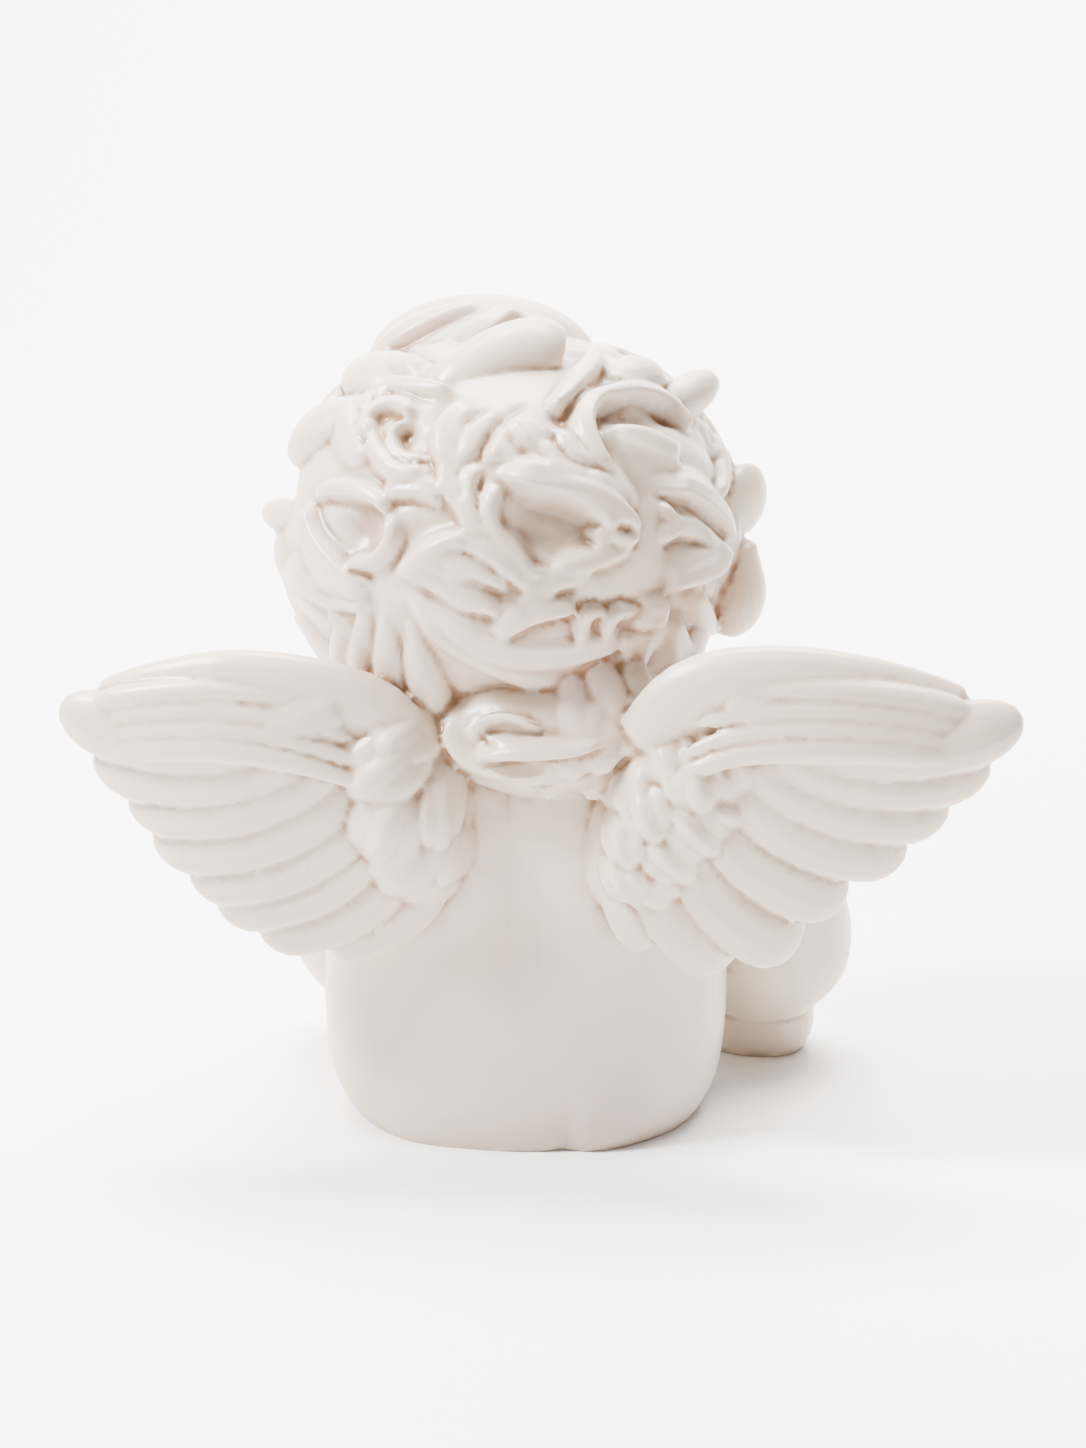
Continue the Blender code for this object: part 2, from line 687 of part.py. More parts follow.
def wing(body, side):
    """Long feathers that fan out from the wrist, soft short ones over their roots, and the leading edge."""
    shape = WINGS[side]
    names = ("inner", "roots", "tips", "lead")
    inner, roots, tips, lead = (smooth_route(shape[name], 40) for name in names)
    reach = WINGSPAN / mm(131)

    def along(curve, share):
        place = min(max(share, 0.0), 1.0) * 40
        low = min(int(place), 39)
        return Vector([blend(a, b, place - low) for a, b in zip(curve[low], curve[low + 1])])

    def back(flat, raised):
        """The wing sweeps back from the shoulder and turns a little forward at its tip."""
        out = flat.x / 66
        return 20 + 6 * sin(pi * min(1, out * 0.95)) + raised

    def place(share, stretch, raised, droop):
        """stretch runs from 0 at the inner edge through 1 at the roots to 2 at the tips."""
        if stretch < 1:
            flat = along(inner, share).lerp(along(roots, share), stretch)
        else:
            start, end = along(roots, share), along(tips, share)
            flat = start.lerp(end, stretch - 1)
            flat += Vector((end.y - start.y, start.x - end.x)) * (droop * sin(pi * (stretch - 1)))
        return at(side * flat.x * reach, back(flat, raised - 4 * share * max(stretch - 1, 0)), flat.y)

    def feather(share, start, end, width, raised, droop=0.0, thick=1.0):
        stations = []
        for step in range(17):
            t = step / 16
            full = opened(t, 0.5, 0.22)
            here = place(share, blend(start, end, t), raised + 1.2 * t, droop)
            half = FEATHER_THICKNESS * thick / 2 * full
            # turned a little about its shaft, so that each feather's lower edge lies over the next
            stations.append((here, mm(width) * full, half, Vector((0, 1, 0.22))))
        skin(body, stations, sides=12)

    count = len(shape["tips"])
    for index in range(count):
        share = index / (count - 1)
        wide = 5.0 + share * 1.5
        feather(share, 0.55, 2.0, wide, 3.4 - 3.4 * share, 0.13, 1.1)
    # slender feathers side by side under the leading edge
    for row in range(4):
        stations = []
        for step in range(17):
            t = step / 16
            flat = along(lead, blend(0.34 - 0.07 * row, 0.99 - 0.02 * row, t))
            flat -= Vector((0, 1.8 + (3.2 - 1.1 * t) * row))
            full = opened(t, 0.7, 0.3)
            here = at(side * flat.x * reach, back(flat, 4.6 + 0.5 * row), flat.y)
            stations.append((here, mm(2.2) * full, mm(1.6) * full, Vector((0, 1, 0.3))))
        skin(body, stations, sides=12)
    out, high, wide, tall, lean = CUSHIONS[side]
    centre = at(side * out * reach, 20, high)
    shell(body, centre, (mm(wide), mm(10), mm(tall)), covert_height(side), 6, side * lean)
    stations = []
    for step in range(17):
        t = step / 16
        flat = along(lead, t) - Vector((0, 1.6))
        radius = 0 if step in (0, 16) else blend(5.6, 3.4, t) * sin(pi * (0.06 + 0.88 * t)) ** 0.4
        here = at(side * flat.x * reach, back(flat, 2.0), flat.y)
        stations.append((here, mm(radius) * 1.25, mm(radius) * 0.72, Vector((0, 1, 0))))
    skin(body, stations)


def new_material():
    material = bpy.data.materials.new("ivory cast stone")
    material.use_nodes = True
    surface = material.node_tree.nodes["Principled BSDF"]
    surface.inputs["Base Color"].default_value = (0.84, 0.78, 0.71, 1)
    surface.inputs["Roughness"].default_value = 0.42
    surface.inputs["Metallic"].default_value = 0.0
    material.diffuse_color = (0.84, 0.78, 0.71, 1)
    return material


def new_collection(name):
    collection = bpy.data.collections.new(name)
    bpy.context.scene.collection.children.link(collection)
    return collection


def base_cutter(collection):
    """A block under z = 0: it leaves the figure a flat underside to stand on."""
    deep = mm(30)
    form = bmesh.new()
    place = Matrix.Translation((0, 0, -deep / 2)) @ Matrix.Diagonal((3 * HEIGHT, 3 * HEIGHT, deep, 1))
    bmesh.ops.create_cube(form, size=1, matrix=place)
    mesh = bpy.data.meshes.new("base cutter")
    form.to_mesh(mesh)
    form.free()
    cutter = bpy.data.objects.new("base cutter", mesh)
    cutter.display_type = "WIRE"
    cutter.hide_render = True
    collection.objects.link(cutter)
    return cutter


def triangle_count(thing):
    graph = bpy.context.evaluated_depsgraph_get()
    evaluated = thing.evaluated_get(graph)
    mesh = evaluated.to_mesh()
    mesh.calc_loop_triangles()
    count = len(mesh.loop_triangles)
    evaluated.to_mesh_clear()
    return count


def build():
    for old in list(bpy.data.objects):
        bpy.data.objects.remove(old)
    figure = new_collection("Putto")
    cutters = new_collection("Putto cutters")
    cutters.hide_render = True
    body = bmesh.new()
    torso(body)
    arm(body, -1, 34.5, 24)
    arm(body, 1, 26.5, 25)
    head(body)
    hair(body)
    wing(body, -1)
    wing(body, 1)
    mesh = bpy.data.meshes.new("putto")
    body.to_mesh(mesh)
    body.free()
    putto = bpy.data.objects.new("putto", mesh)
    putto.data.materials.append(new_material())
    figure.objects.link(putto)
    remesh = putto.modifiers.new("one body", "REMESH")
    remesh.mode = "VOXEL"
    remesh.voxel_size = GRAIN
    remesh.use_smooth_shade = True
    soften = putto.modifiers.new("soften", "SMOOTH")
    soften.factor = 0.5
    soften.iterations = 4
    thin_out = putto.modifiers.new("thin out", "DECIMATE")
    thin_out.ratio = TRIANGLES / triangle_count(putto)
    stand = putto.modifiers.new("flat underside", "BOOLEAN")
    stand.operation = "DIFFERENCE"
    stand.solver = "EXACT"
    stand.object = base_cutter(cutters)
    return putto


build()
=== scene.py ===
# %% [markdown]
# # A winged putto in cast stone, seen from behind
#
# The real object is one casting: a half-length winged child with a mass of curls, resting on its
# forearms. A caster's mould takes hair, skin and feathers in one pour, so everything here ends as
# one closed skin too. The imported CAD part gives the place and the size. This script makes the same
# figure again with finer curls and a finer grain, and gives it the look of ivory stone resin.

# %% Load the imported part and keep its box
from math import acos, atan2, cos, pi, radians, sin

import bmesh
import bpy
import numpy as np
from mathutils import Matrix, Vector


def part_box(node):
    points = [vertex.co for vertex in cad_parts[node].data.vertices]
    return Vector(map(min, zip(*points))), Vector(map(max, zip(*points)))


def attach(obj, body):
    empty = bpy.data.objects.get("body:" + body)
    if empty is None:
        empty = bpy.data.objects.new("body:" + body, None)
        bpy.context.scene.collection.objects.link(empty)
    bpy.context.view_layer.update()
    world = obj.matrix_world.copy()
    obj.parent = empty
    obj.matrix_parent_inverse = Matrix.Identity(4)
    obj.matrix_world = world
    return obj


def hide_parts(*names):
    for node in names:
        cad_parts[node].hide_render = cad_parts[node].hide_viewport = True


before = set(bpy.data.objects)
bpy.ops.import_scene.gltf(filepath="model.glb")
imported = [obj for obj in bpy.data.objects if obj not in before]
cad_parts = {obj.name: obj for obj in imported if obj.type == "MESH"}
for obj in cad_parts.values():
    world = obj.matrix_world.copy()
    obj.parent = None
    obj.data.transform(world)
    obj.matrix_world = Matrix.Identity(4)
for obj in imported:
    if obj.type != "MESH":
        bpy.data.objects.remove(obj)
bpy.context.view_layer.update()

# %% [markdown]
# ## One unit for the whole figure
#
# A sculptor works from the height of the figure and takes everything else as a share of it. The
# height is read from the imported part. Every form is then given in figure millimetres, 120 of them
# from the ground to the top of the hair, so the whole figure follows the part if its size changes.

# %% Sizes
low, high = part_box("putto")
HEIGHT = high[2] - low[2]
WINGSPAN = high[0] - low[0]
# the thickness of a long feather and the grain of the one skin, in metres
FEATHER_THICKNESS = 0.0046
GRAIN = 0.00042
MOST_TRIANGLES = 190000
UNIT = HEIGHT / 120


def mm(length):
    """A length in figure millimetres, as metres."""
    return length * UNIT


def at(x, y, z):
    return Vector((mm(x), mm(y), mm(z)))


print("height", round(HEIGHT, 4), "m, wingspan", round(WINGSPAN, 4), "m")

# %% [markdown]
# ## Tools for soft closed forms
#
# Clay is built up from pellets and rolls pressed into each other. The same works here: each form is
# a closed sphere, stretched or bent, and all of them are gathered in one bmesh. They may cross
# freely, because a voxel remesh at the end keeps only the outer skin. A UV sphere from bmesh is
# closed at both poles, so moving its rings along a line gives limbs, feathers and locks with no
# open ends.

# %% Small helpers for blending and for smooth lines


def blend(a, b, share):
    return a + (b - a) * share


def ease(share):
    share = min(max(share, 0.0), 1.0)
    return share * share * (3 - 2 * share)


def smooth_route(points, steps):
    """A Catmull-Rom line through rows of numbers, as steps + 1 rows."""
    ends = [points[0]] + list(points) + [points[-1]]
    rows = []
    for step in range(steps + 1):
        place = step / steps * (len(points) - 1)
        leg = min(int(place), len(points) - 2)
        t = place - leg
        row = []
        for a, b, c, d in zip(*ends[leg : leg + 4]):
            bend = (2 * a - 5 * b + 4 * c - d) * t * t + (3 * b - a - 3 * c + d) * t**3
            row.append(0.5 * (2 * b + (c - a) * t + bend))
        rows.append(row)
    return rows


print("a line in 4 steps has", len(smooth_route([(0, 0), (1, 1), (2, 0)], 4)), "rows")

# %% Closed forms: ellipsoids, stretched spheres and limbs


def gather(body, form):
    """Adds one closed form to the body; a remesh makes one skin of them all."""
    mesh = bpy.data.meshes.new("form")
    form.to_mesh(mesh)
    form.free()
    body.from_mesh(mesh)
    bpy.data.meshes.remove(mesh)


def blob(body, centre, radii, turn=(0, 0, 0)):
    """An ellipsoid, its radii in figure millimetres and its turn in degrees."""
    around = Matrix.Identity(4)
    for axis, angle in zip("XYZ", turn):
        around = Matrix.Rotation(radians(angle), 4, axis) @ around
    size = Matrix.Diagonal((mm(radii[0]), mm(radii[1]), mm(radii[2]), 1))
    form = bmesh.new()
    place = Matrix.Translation(centre) @ around @ size
    bmesh.ops.create_uvsphere(form, u_segments=24, v_segments=16, radius=1, matrix=place)
    gather(body, form)


def skin(body, stations, sides=16, square=1.0, swell=None):
    """A sphere stretched over stations from end to end.

    A station is its centre, half width, half thickness and normal. swell takes each point of the
    sphere to where it should be.
    """
    last = len(stations) - 1
    form = bmesh.new()
    made = bmesh.ops.create_uvsphere(form, u_segments=sides, v_segments=last, radius=1)["verts"]
    frames = []
    for index, (centre, width, thickness, normal) in enumerate(stations):
        before = stations[max(index - 1, 0)][0]
        after = stations[min(index + 1, last)][0]
        along = (after - before).normalized()
        side = along.cross(normal).normalized()
        frames.append((centre, side * width, side.cross(along).normalized() * thickness))
    for vert in made:
        ring = round(acos(max(-1.0, min(1.0, vert.co.z))) / pi * last)
        centre, across, through = frames[ring]
        if ring in (0, last):
            vert.co = centre
            continue
        angle = atan2(vert.co.y, vert.co.x)
        c, s = cos(angle), sin(angle)
        c = abs(c) ** square * (1 if c > 0 else -1)
        s = abs(s) ** square * (1 if s > 0 else -1)
        vert.co = centre + across * c + through * s
        if swell:
            vert.co = swell(vert.co)
    gather(body, form)


def limb(body, points, steps=24, flat=1.0, normal=(0, 1, 0)):
    """A round limb through (x, y, z, radius) points in figure millimetres, its ends closed."""
    stations = []
    for x, y, z, r in smooth_route(points, steps):
        stations.append([at(x, y, z), mm(r), mm(r) * flat, Vector(normal)])
    for end in (stations[0], stations[-1]):
        end[1] = end[2] = 0
    skin(body, stations, sides=28)


clay = bmesh.new()
made_so_far = [0]


def tell(what):
    """Says how much clay was added since the last time."""
    count = len(clay.verts)
    print(f"{what}: {count - made_so_far[0]} points, {count} in all")
    made_so_far[0] = count


# %% [markdown]
# ## Trunk
#
# The trunk is cut level at the waist, and stands on that cut. It is a sphere stretched over a row
# of sections, squarer than an ellipse because a child's back is broad. Shoulder blades, spine,
# chest and belly are soft mounds that push the skin out or draw it in.

# %% The trunk


def torso(body):
    """The trunk, from the rounded base to the neck, with its soft places swelled."""
    wide = mm(30)
    deep = mm(23)
    # height, then half width and half depth as shares, and the shift back
    sections = (
        (-5, 0.60, 0.66, 0),
        (-1, 0.82, 0.84, 0),
        (4, 0.935, 0.95, 0),
        (10, 0.985, 1.0, 0),
        (20, 1.0, 1.0, 0),
        (32, 0.97, 0.96, 0),
        (44, 0.92, 0.92, 1),
        (54, 0.84, 0.88, 1),
        (62, 0.70, 0.76, 0),
        (69, 0.46, 0.54, -1),
        (76, 0.30, 0.36, -3),
    )
    # x, height, reach across and up, and how far each place stands out to the front
    front_mounds = (
        (1, 16, 17, 13, 6.0),
        (-11, 45, 10, 8, 3.4),
        (13, 45, 10, 8, 3.4),
        (1, 31, 4, 8, -1.2),
    )
    back_mounds = ((-15, 46, 11, 17, 3.0), (17, 46, 11, 17, 3.0), (1, 40, 3.5, 26, -0.5))
    foot_lobes = ((2, 13, 1.3), (-13, 9, 1.0), (-6.5, 2.6, -0.6), (16, 7, 0.8))

    def swell(co):
        x, z = co.x / mm(1), co.z / mm(1)
        facing = co.y / deep
        push = 0
        for mx, mz, across, up, rise in front_mounds if facing < 0 else back_mounds:
            push += rise * np.exp(-(((x - mx) / across) ** 2) - ((z - mz) / up) ** 2) * abs(facing)
        lower = 0
        for mx, across, drop in foot_lobes:
            lower += drop * np.exp(-(((x - mx) / across) ** 2)) * ease(facing) * ease((14 - z) / 14)
        push += 2 * lower
        return co + Vector((0, mm(push) * (1 if facing > 0 else -1), -mm(lower)))

    stations = []
    for z, across, through, back in smooth_route(sections, 40):
        stations.append((at(1, back, z), wide * across, deep * through, Vector((0, 1, 0))))
    skin(body, stations, sides=56, square=0.8, swell=swell)


torso(clay)
tell("trunk")

# %% [markdown]
# ## Arms
#
# Each arm is two limbs, upper arm and forearm, with a palm, a thumb and four fingers laid on the
# ground. A child's arm is plump and has no visible bone, so a round limb whose radius changes
# softly along a smooth line is enough. The two elbows are set apart differently, as in the
# photograph.

# %% Arms and hands


def digit(body, start, end, radius):
    stations = []
    for step in range(11):
        share = step / 10
        bend = at(0, 0, 1.3) * sin(pi * share)
        full = mm(radius) * (1 - 0.18 * share) * sin(pi * (0.04 + 0.92 * share)) ** 0.4
        if step in (0, 10):
            full = 0
        stations.append((blend(start, end, share) + bend, full, full, Vector((0, 0, 1))))
    skin(body, stations, sides=10)


def arm(body, side, elbow_out, elbow_forward):
    """Shoulder, plump upper arm, forearm laid on the ground and the open hand at its end."""
    x, y = side * elbow_out + 1, -elbow_forward
    upper = (
        (side * 15 + 1, -2, 60, 7),
        (side * 20 + 1, -5, 54, 11.5),
        (side * 25 + 1, -11, 44, 12.8),
        (blend(side * 26 + 1, x, 0.6), blend(-10, y, 0.6), 32, 13),
        (x, y, 20, 14),
        (x, y - 2, 12, 11.5),
        (x, y - 3, 6, 6),
    )
    limb(body, upper)
    lower = (
        (x - side * 1, y + 4, 3, 4),
        (x - side * 1, y, 4.5, 9),
        (x - side * 3, y - 8, 5.5, 10.4),
        (x - side * 9, y - 18, 5, 8.8),
        (x - side * 13, y - 25, 4, 6.4),
        (x - side * 15, y - 29, 3, 5.5),
    )
    limb(body, lower, flat=0.9, normal=(0, 0, 1))
    palm = at(x - side * 16, y - 32, 3)
    blob(body, palm, (6.4, 7, 4.2), (0, 0, side * 20))
    for finger in range(4):
        spread = finger - 1.5
        knuckle = palm + at(-side * 1.6 + spread * 3.1, -4 + abs(spread) * 0.7, 0.6)
        tip = knuckle + at(-side * 1.5 + spread * 0.6, -9.4 + abs(spread) * 1.1, -2.0)
        digit(body, knuckle, tip, 2.1)
    digit(body, palm + at(-side * 4.5, 1, 0), palm + at(-side * 8.5, -4.5, -1.4), 2.3)


arm(clay, -1, 34.5, 24)
arm(clay, 1, 26.5, 25)
tell("arms")

# %% [markdown]
# ## Hair: sweeps over the skull
#
# Carved curls are bands that lie over each other. Each has one soft side and one sharp lip with a
# groove beyond it. The lips in view are read off the photograph: a few places along each, in units
# of a panel that frames the head. A ray from the camera through each place meets the hair there.
# On the tuft, on the nape and where the photograph shows nothing, a lip is a sweep, from here to
# there, leaving to one side and coming in from another. Either way the band is laid along it over
# whatever lies there already.

# %% Where the photograph was taken from
PHOTO_WIDE = 1086
PHOTO_TALL = 1448
MM_PER_PIXEL = 0.147
AZIMUTH = radians(186)
ELEVATION = radians(13)
DISTANCE = 0.450
LOOK_AT = at(-1.5, 0, 58)
AWAY = Vector((sin(AZIMUTH) * cos(ELEVATION), -cos(AZIMUTH) * cos(ELEVATION), sin(ELEVATION)))
EYE = LOOK_AT + AWAY * DISTANCE
RIGHTWARD = Vector((cos(AZIMUTH), sin(AZIMUTH), 0))
UPWARD = AWAY.cross(RIGHTWARD)
print("the photograph's eye, m:", [round(share, 3) for share in EYE])

# %% Ways over a sphere


def on_sphere(lon, lat):
    """A place of the unit sphere, in degrees seen from behind, with lon to the figure's right."""
    lon, lat = radians(lon), radians(lat)
    return Vector((-sin(lon) * cos(lat), cos(lon) * cos(lat), sin(lat)))


def sweep(lon, lat, to_lon, to_lat, leave, arrive, steps=14):
    """A curved way over the unit sphere between two places, as rows of place and heading.

    It leaves turned by leave degrees, clockwise from the straight way, and comes in turned by
    arrive.
    """
    start, end = on_sphere(lon, lat), on_sphere(to_lon, to_lat)
    outward = (start + end).normalized()
    reach = (end - start) / 3 * (1 + (abs(leave) + abs(arrive)) / 180)
    first = start + Matrix.Rotation(radians(-leave), 3, outward) @ reach
    last = end - Matrix.Rotation(radians(-arrive), 3, outward) @ reach
    places = []
    for step in range(steps + 1):
        t = step / steps
        place = start * (1 - t) ** 3 + first * (3 * t * (1 - t) ** 2)
        places.append((place + last * (3 * t * t * (1 - t)) + end * t**3).normalized())
    rows = [(a, (b - a).normalized()) for a, b in zip(places, places[1:])]
    return rows + [(places[-1], rows[-1][1])]


def walk(lon, lat, heading, length, turn, curl, steps=14):
    """A walk over the unit sphere, as rows of place and heading.

    lon and lat say where it starts, seen from behind, with lon to the figure's right. heading is
    clockwise from up. length, turn and curl are in degrees: how far the walk goes, and how fast it
    turns at its start and at its end.
    """
    p = on_sphere(lon, lat)
    lon, lat, heading = radians(lon), radians(lat), radians(heading)
    east = Vector((-cos(lon), -sin(lon), 0))
    north = Vector((sin(lon) * sin(lat), -cos(lon) * sin(lat), cos(lat)))
    ahead = north * cos(heading) + east * sin(heading)
    stride = radians(length) / steps
    rows = []
    for step in range(steps + 1):
        share = step / steps
        rows.append((p.copy(), ahead.copy()))
        p, ahead = p * cos(stride) + ahead * sin(stride), ahead * cos(stride) - p * sin(stride)
        rate = radians(turn + (curl - turn) * share * share) / steps
        ahead = Matrix.Rotation(-rate, 3, p) @ ahead
        p.normalize()
    return rows


print("a sweep over the head has", len(sweep(-20, 0, 20, 0, 30, -30)), "places")

# %% One band of hair laid over the rest
SKULL = at(4, -4, 86)
SKULL_RADII = (mm(30), mm(31), mm(26))
HAIR = 3.4
# the corner of the head's panel in the photograph, and one of its units, in pixels
PANEL_LEFT = 240
PANEL_TOP = 270
PANEL_UNIT = 0.572


def seen_at(across, down):
    """The place of the hair that the photograph shows here, as a place of the skull's unit sphere.

    across and down are units of the head panel, counted from its upper left corner.
    """
    x = (PANEL_LEFT + PANEL_UNIT * across - PHOTO_WIDE / 2) * MM_PER_PIXEL
    z = (PHOTO_TALL / 2 - PANEL_TOP - PANEL_UNIT * down) * MM_PER_PIXEL
    ray = LOOK_AT + RIGHTWARD * mm(x) + UPWARD * mm(z) - EYE
    radii = [radius + mm(HAIR) for radius in SKULL_RADII]
    start = Vector(a / b for a, b in zip(EYE - SKULL, radii))
    ray = Vector(a / b for a, b in zip(ray, radii))
    square, half = ray.dot(ray), start.dot(ray)
    inside = max(half * half - square * (start.dot(start) - 1), 0)
    return (start - ray * ((half + inside**0.5) / square)).normalized()


def drawn(points, steps=14):
    """A way over the hair through places read in the head panel, as rows of place and heading."""
    places = [seen_at(*point) for point in smooth_route(points, steps)]
    rows = [(a, (b - a).normalized()) for a, b in zip(places, places[1:])]
    return rows + [(places[-1], rows[-1][1])]


def nearest_on(places, rows):
    """For each place of a unit sphere: how far right of the walk it is, and how far along."""
    nearest = np.full(len(places), 9.0)
    signed = np.zeros(len(places))
    share = np.zeros(len(places))
    for index in range(len(rows) - 1):
        p, ahead = rows[index]
        side = np.array(ahead.cross(p))
        reach = (rows[index + 1][0] - p).length
        away = places - np.array(p)
        along = np.clip(away @ np.array(ahead), 0, reach)
        gap = away - along[:, None] * np.array(ahead)
        far = np.linalg.norm(gap, axis=1)
        closer = far < nearest
        nearest = np.where(closer, far, nearest)
        signed = np.where(closer, np.where(gap @ side < 0, -far, far), signed)
        share = np.where(closer, (index + along / reach) / (len(rows) - 1), share)
    return signed, share


def eased(values):
    values = np.clip(values, 0, 1)
    return values * values * (3 - 2 * values)


def lay(height, places, rows, half, level, soft):
    """Lays one band of hair over the relief that is there, and gives the new relief.

    The rows are its sharp lip, with a groove beyond it. The band lies left of them if half is
    positive, else right, and blends in over soft times its half width. half is in radians of
    the sphere.
    """
    signed, share = nearest_on(places, rows)
    wide = abs(half) * (0.3 + 0.8 * np.sin(pi * (0.1 + 0.82 * share)) ** 0.8)
    across = 1 + signed / wide * (1 if half > 0 else -1)
    over = np.where(across > 0, eased((1.12 - across) / 0.3), eased((across + soft) / (soft - 0.2)))
    ends = eased(share / 0.2) * eased((1 - share) / 0.12)
    crown = level * (1 - 0.22 * (across - 0.5) ** 2 + 0.07 * np.cos(7 * across + 3 * share))
    groove = 0.2 * level * np.exp(-(((across - 1.4) / 0.3) ** 2))
    return height + ends * (over * (crown - height) - groove)


# bands narrower than this are crisp on both sides
RIM = 1.9
# the thin rims on top are made a little broader and lower than their rows say
RIM_BREADTH = 1.18
RIM_RISE = 0.84
# how far the inner side of a rim and of a broad band blends in, in half widths
RIM_SOFTNESS = 1.0
BAND_SOFTNESS = 2.4


def relief_of(places, bands, radius, relief=None, broader=1.0, flatter=1.0):
    """The relief of bands laid over each other. Thin ones are rims, crisp on both sides.

    A band's way is either a sweep's six numbers or places read in the head panel.
    """
    if relief is None:
        relief = np.full(len(places), mm(1))
    for *way, half, level in bands:
        half *= broader
        soft = RIM_SOFTNESS if abs(half) < RIM else BAND_SOFTNESS
        rows = drawn(way) if isinstance(way[0], tuple) else sweep(*way)
        relief = lay(relief, places, rows, mm(half) / radius, mm(level * flatter), soft)
    return relief


def press(relief, places, radius, middle, wide, tall, lean, depth):
    """Presses an oval hollow into the relief, as a thumb does in clay.

    Its middle and half sizes are in panel units, its lean in degrees.
    """
    out = seen_at(*middle)
    east = Vector((-out.y, out.x, 0)).normalized()
    north = out.cross(east)
    if north.z < 0:
        north.negate()
    turned = Matrix.Rotation(radians(-lean), 3, out)
    # the side of the head turns away, so a hollow there is wider than it looks
    slant = max(0.35, cos(atan2(-out.x, out.y) + AZIMUTH - pi))
    a = places @ np.array(turned @ east) * radius / mm(wide * PANEL_UNIT * MM_PER_PIXEL / slant)
    b = places @ np.array(turned @ north) * radius / mm(tall * PANEL_UNIT * MM_PER_PIXEL)
    near = places @ np.array(out) > 0
    return relief - mm(depth) * near * np.exp(-((a * a + b * b) ** 1.5))


# %% [markdown]
# ## The mass of hair
#
# The cap of hair is a dense icosphere over the skull. Its points move outwards as the bands are
# laid, the lowest band first, so later locks cover earlier ones. Then hollows are pressed into it,
# and thin rims go on top. The cap is thick behind the hairline and sinks inside the face in front.

# %% The skull and its shell


def shell(body, centre, radii, height_at, fineness=6, lean=0.0):
    """An ellipsoid whose surface stands height_at(unit places) outside its radii, all in metres.

    lean moves it sideways as it rises.
    """
    form = bmesh.new()
    verts = bmesh.ops.create_icosphere(form, subdivisions=fineness, radius=1)["verts"]
    places = np.array([vert.co[:] for vert in verts])
    places /= np.linalg.norm(places, axis=1)[:, None]
    points = places * (np.array(radii) + height_at(places)[:, None])
    points[:, 0] += lean * points[:, 2]
    points += np.array(centre)
    for vert, point in zip(verts, points):
        vert.co = point
    bmesh.ops.smooth_vert(
        form, verts=form.verts, factor=0.5, use_axis_x=True, use_axis_y=True, use_axis_z=True
    )
    gather(body, form)


# %% Broad bands, region by region
# each row: places along the lip, across and down in the panel, then half width and level
BANDS = (
    # long sweeps under the back of the head
    ((290, 560), (330, 640), (420, 700), (530, 735), (640, 722), 5.0, 2.4),
    ((560, 735), (640, 722), (705, 690), (745, 620), (738, 570), 4.0, 2.6),
    ((340, 600), (400, 660), (500, 690), (600, 680), (680, 650), 2.6, 2.8),
    ((450, 645), (520, 615), (590, 600), 2.0, 3.0),
    # swirl low on the right, and the side beyond it
    ((848, 470), (825, 535), (740, 565), -3.4, 3.4),
    ((745, 562), (728, 612), (690, 622), -2.4, 3.6),
    ((800, 540), (825, 600), (835, 650), -2.2, 2.6),
    ((765, 590), (785, 650), (810, 690), -2.4, 2.8),
    ((720, 385), (780, 400), (835, 445), (850, 490), 2.2, 2.8),
    ((735, 480), (780, 465), (830, 495), 1.8, 2.6),
    # middle of the crown
    ((520, 235), (450, 280), (425, 330), 2.6, 2.2),
    ((400, 215), (350, 255), (335, 310), (350, 370), 2.6, 2.4),
    ((470, 255), (490, 300), (540, 340), (600, 362), 2.6, 2.8),
    # left of the crown
    ((200, 190), (215, 150), (270, 145), (340, 155), -2.5, 2.8),
    ((230, 240), (250, 195), (310, 190), (380, 205), -1.8, 2.8),
    ((200, 210), (205, 260), (230, 330), -2.0, 2.4),
    # right of the crown, and what lies in the ring
    ((640, 262), (700, 268), (770, 300), -3.8, 2.0),
    ((625, 135), (632, 170), (600, 212), (548, 258), -1.8, 3.4),
    ((640, 140), (700, 152), (760, 182), (800, 215), 2.2, 2.8),
    ((640, 185), (690, 200), (760, 225), 1.8, 2.2),
    # left side
    ((75, 545), (150, 590), (230, 600), 2.8, 2.0),
    ((90, 590), (130, 640), (180, 690), 1.8, 2.4),
    ((150, 600), (185, 640), (205, 690), 1.8, 2.4),
    ((125, 395), (138, 450), (180, 505), (232, 556), -2.6, 2.8),
    ((250, 402), (300, 398), (350, 412), 2.0, 2.4),
    # leaf-shaped lock on the left
    ((480, 450), (400, 450), (335, 466), (290, 502), (272, 532), 4.6, 3.0),
    ((470, 445), (500, 490), (525, 560), -1.8, 2.6),
    # lock that ends in a hook, over the wide hollow
    ((440, 352), (500, 388), (570, 404), (615, 432), (640, 466), 3.4, 3.4),
)
print(len(BANDS), "broad bands")

# %% Hollows between them, and thin rims on top
# each hollow: its middle, half width and half height in the panel, then its lean and depth
HOLLOWS = (
    ((548, 450), 62, 48, 25, 3.2),  # wide hollow
    ((208, 450), 34, 44, -10, 2.6),  # open curl
    ((285, 290), 26, 26, 0, 1.4),  # small round curl
    ((700, 250), 62, 20, 8, 1.6),  # upper part of the ring
)
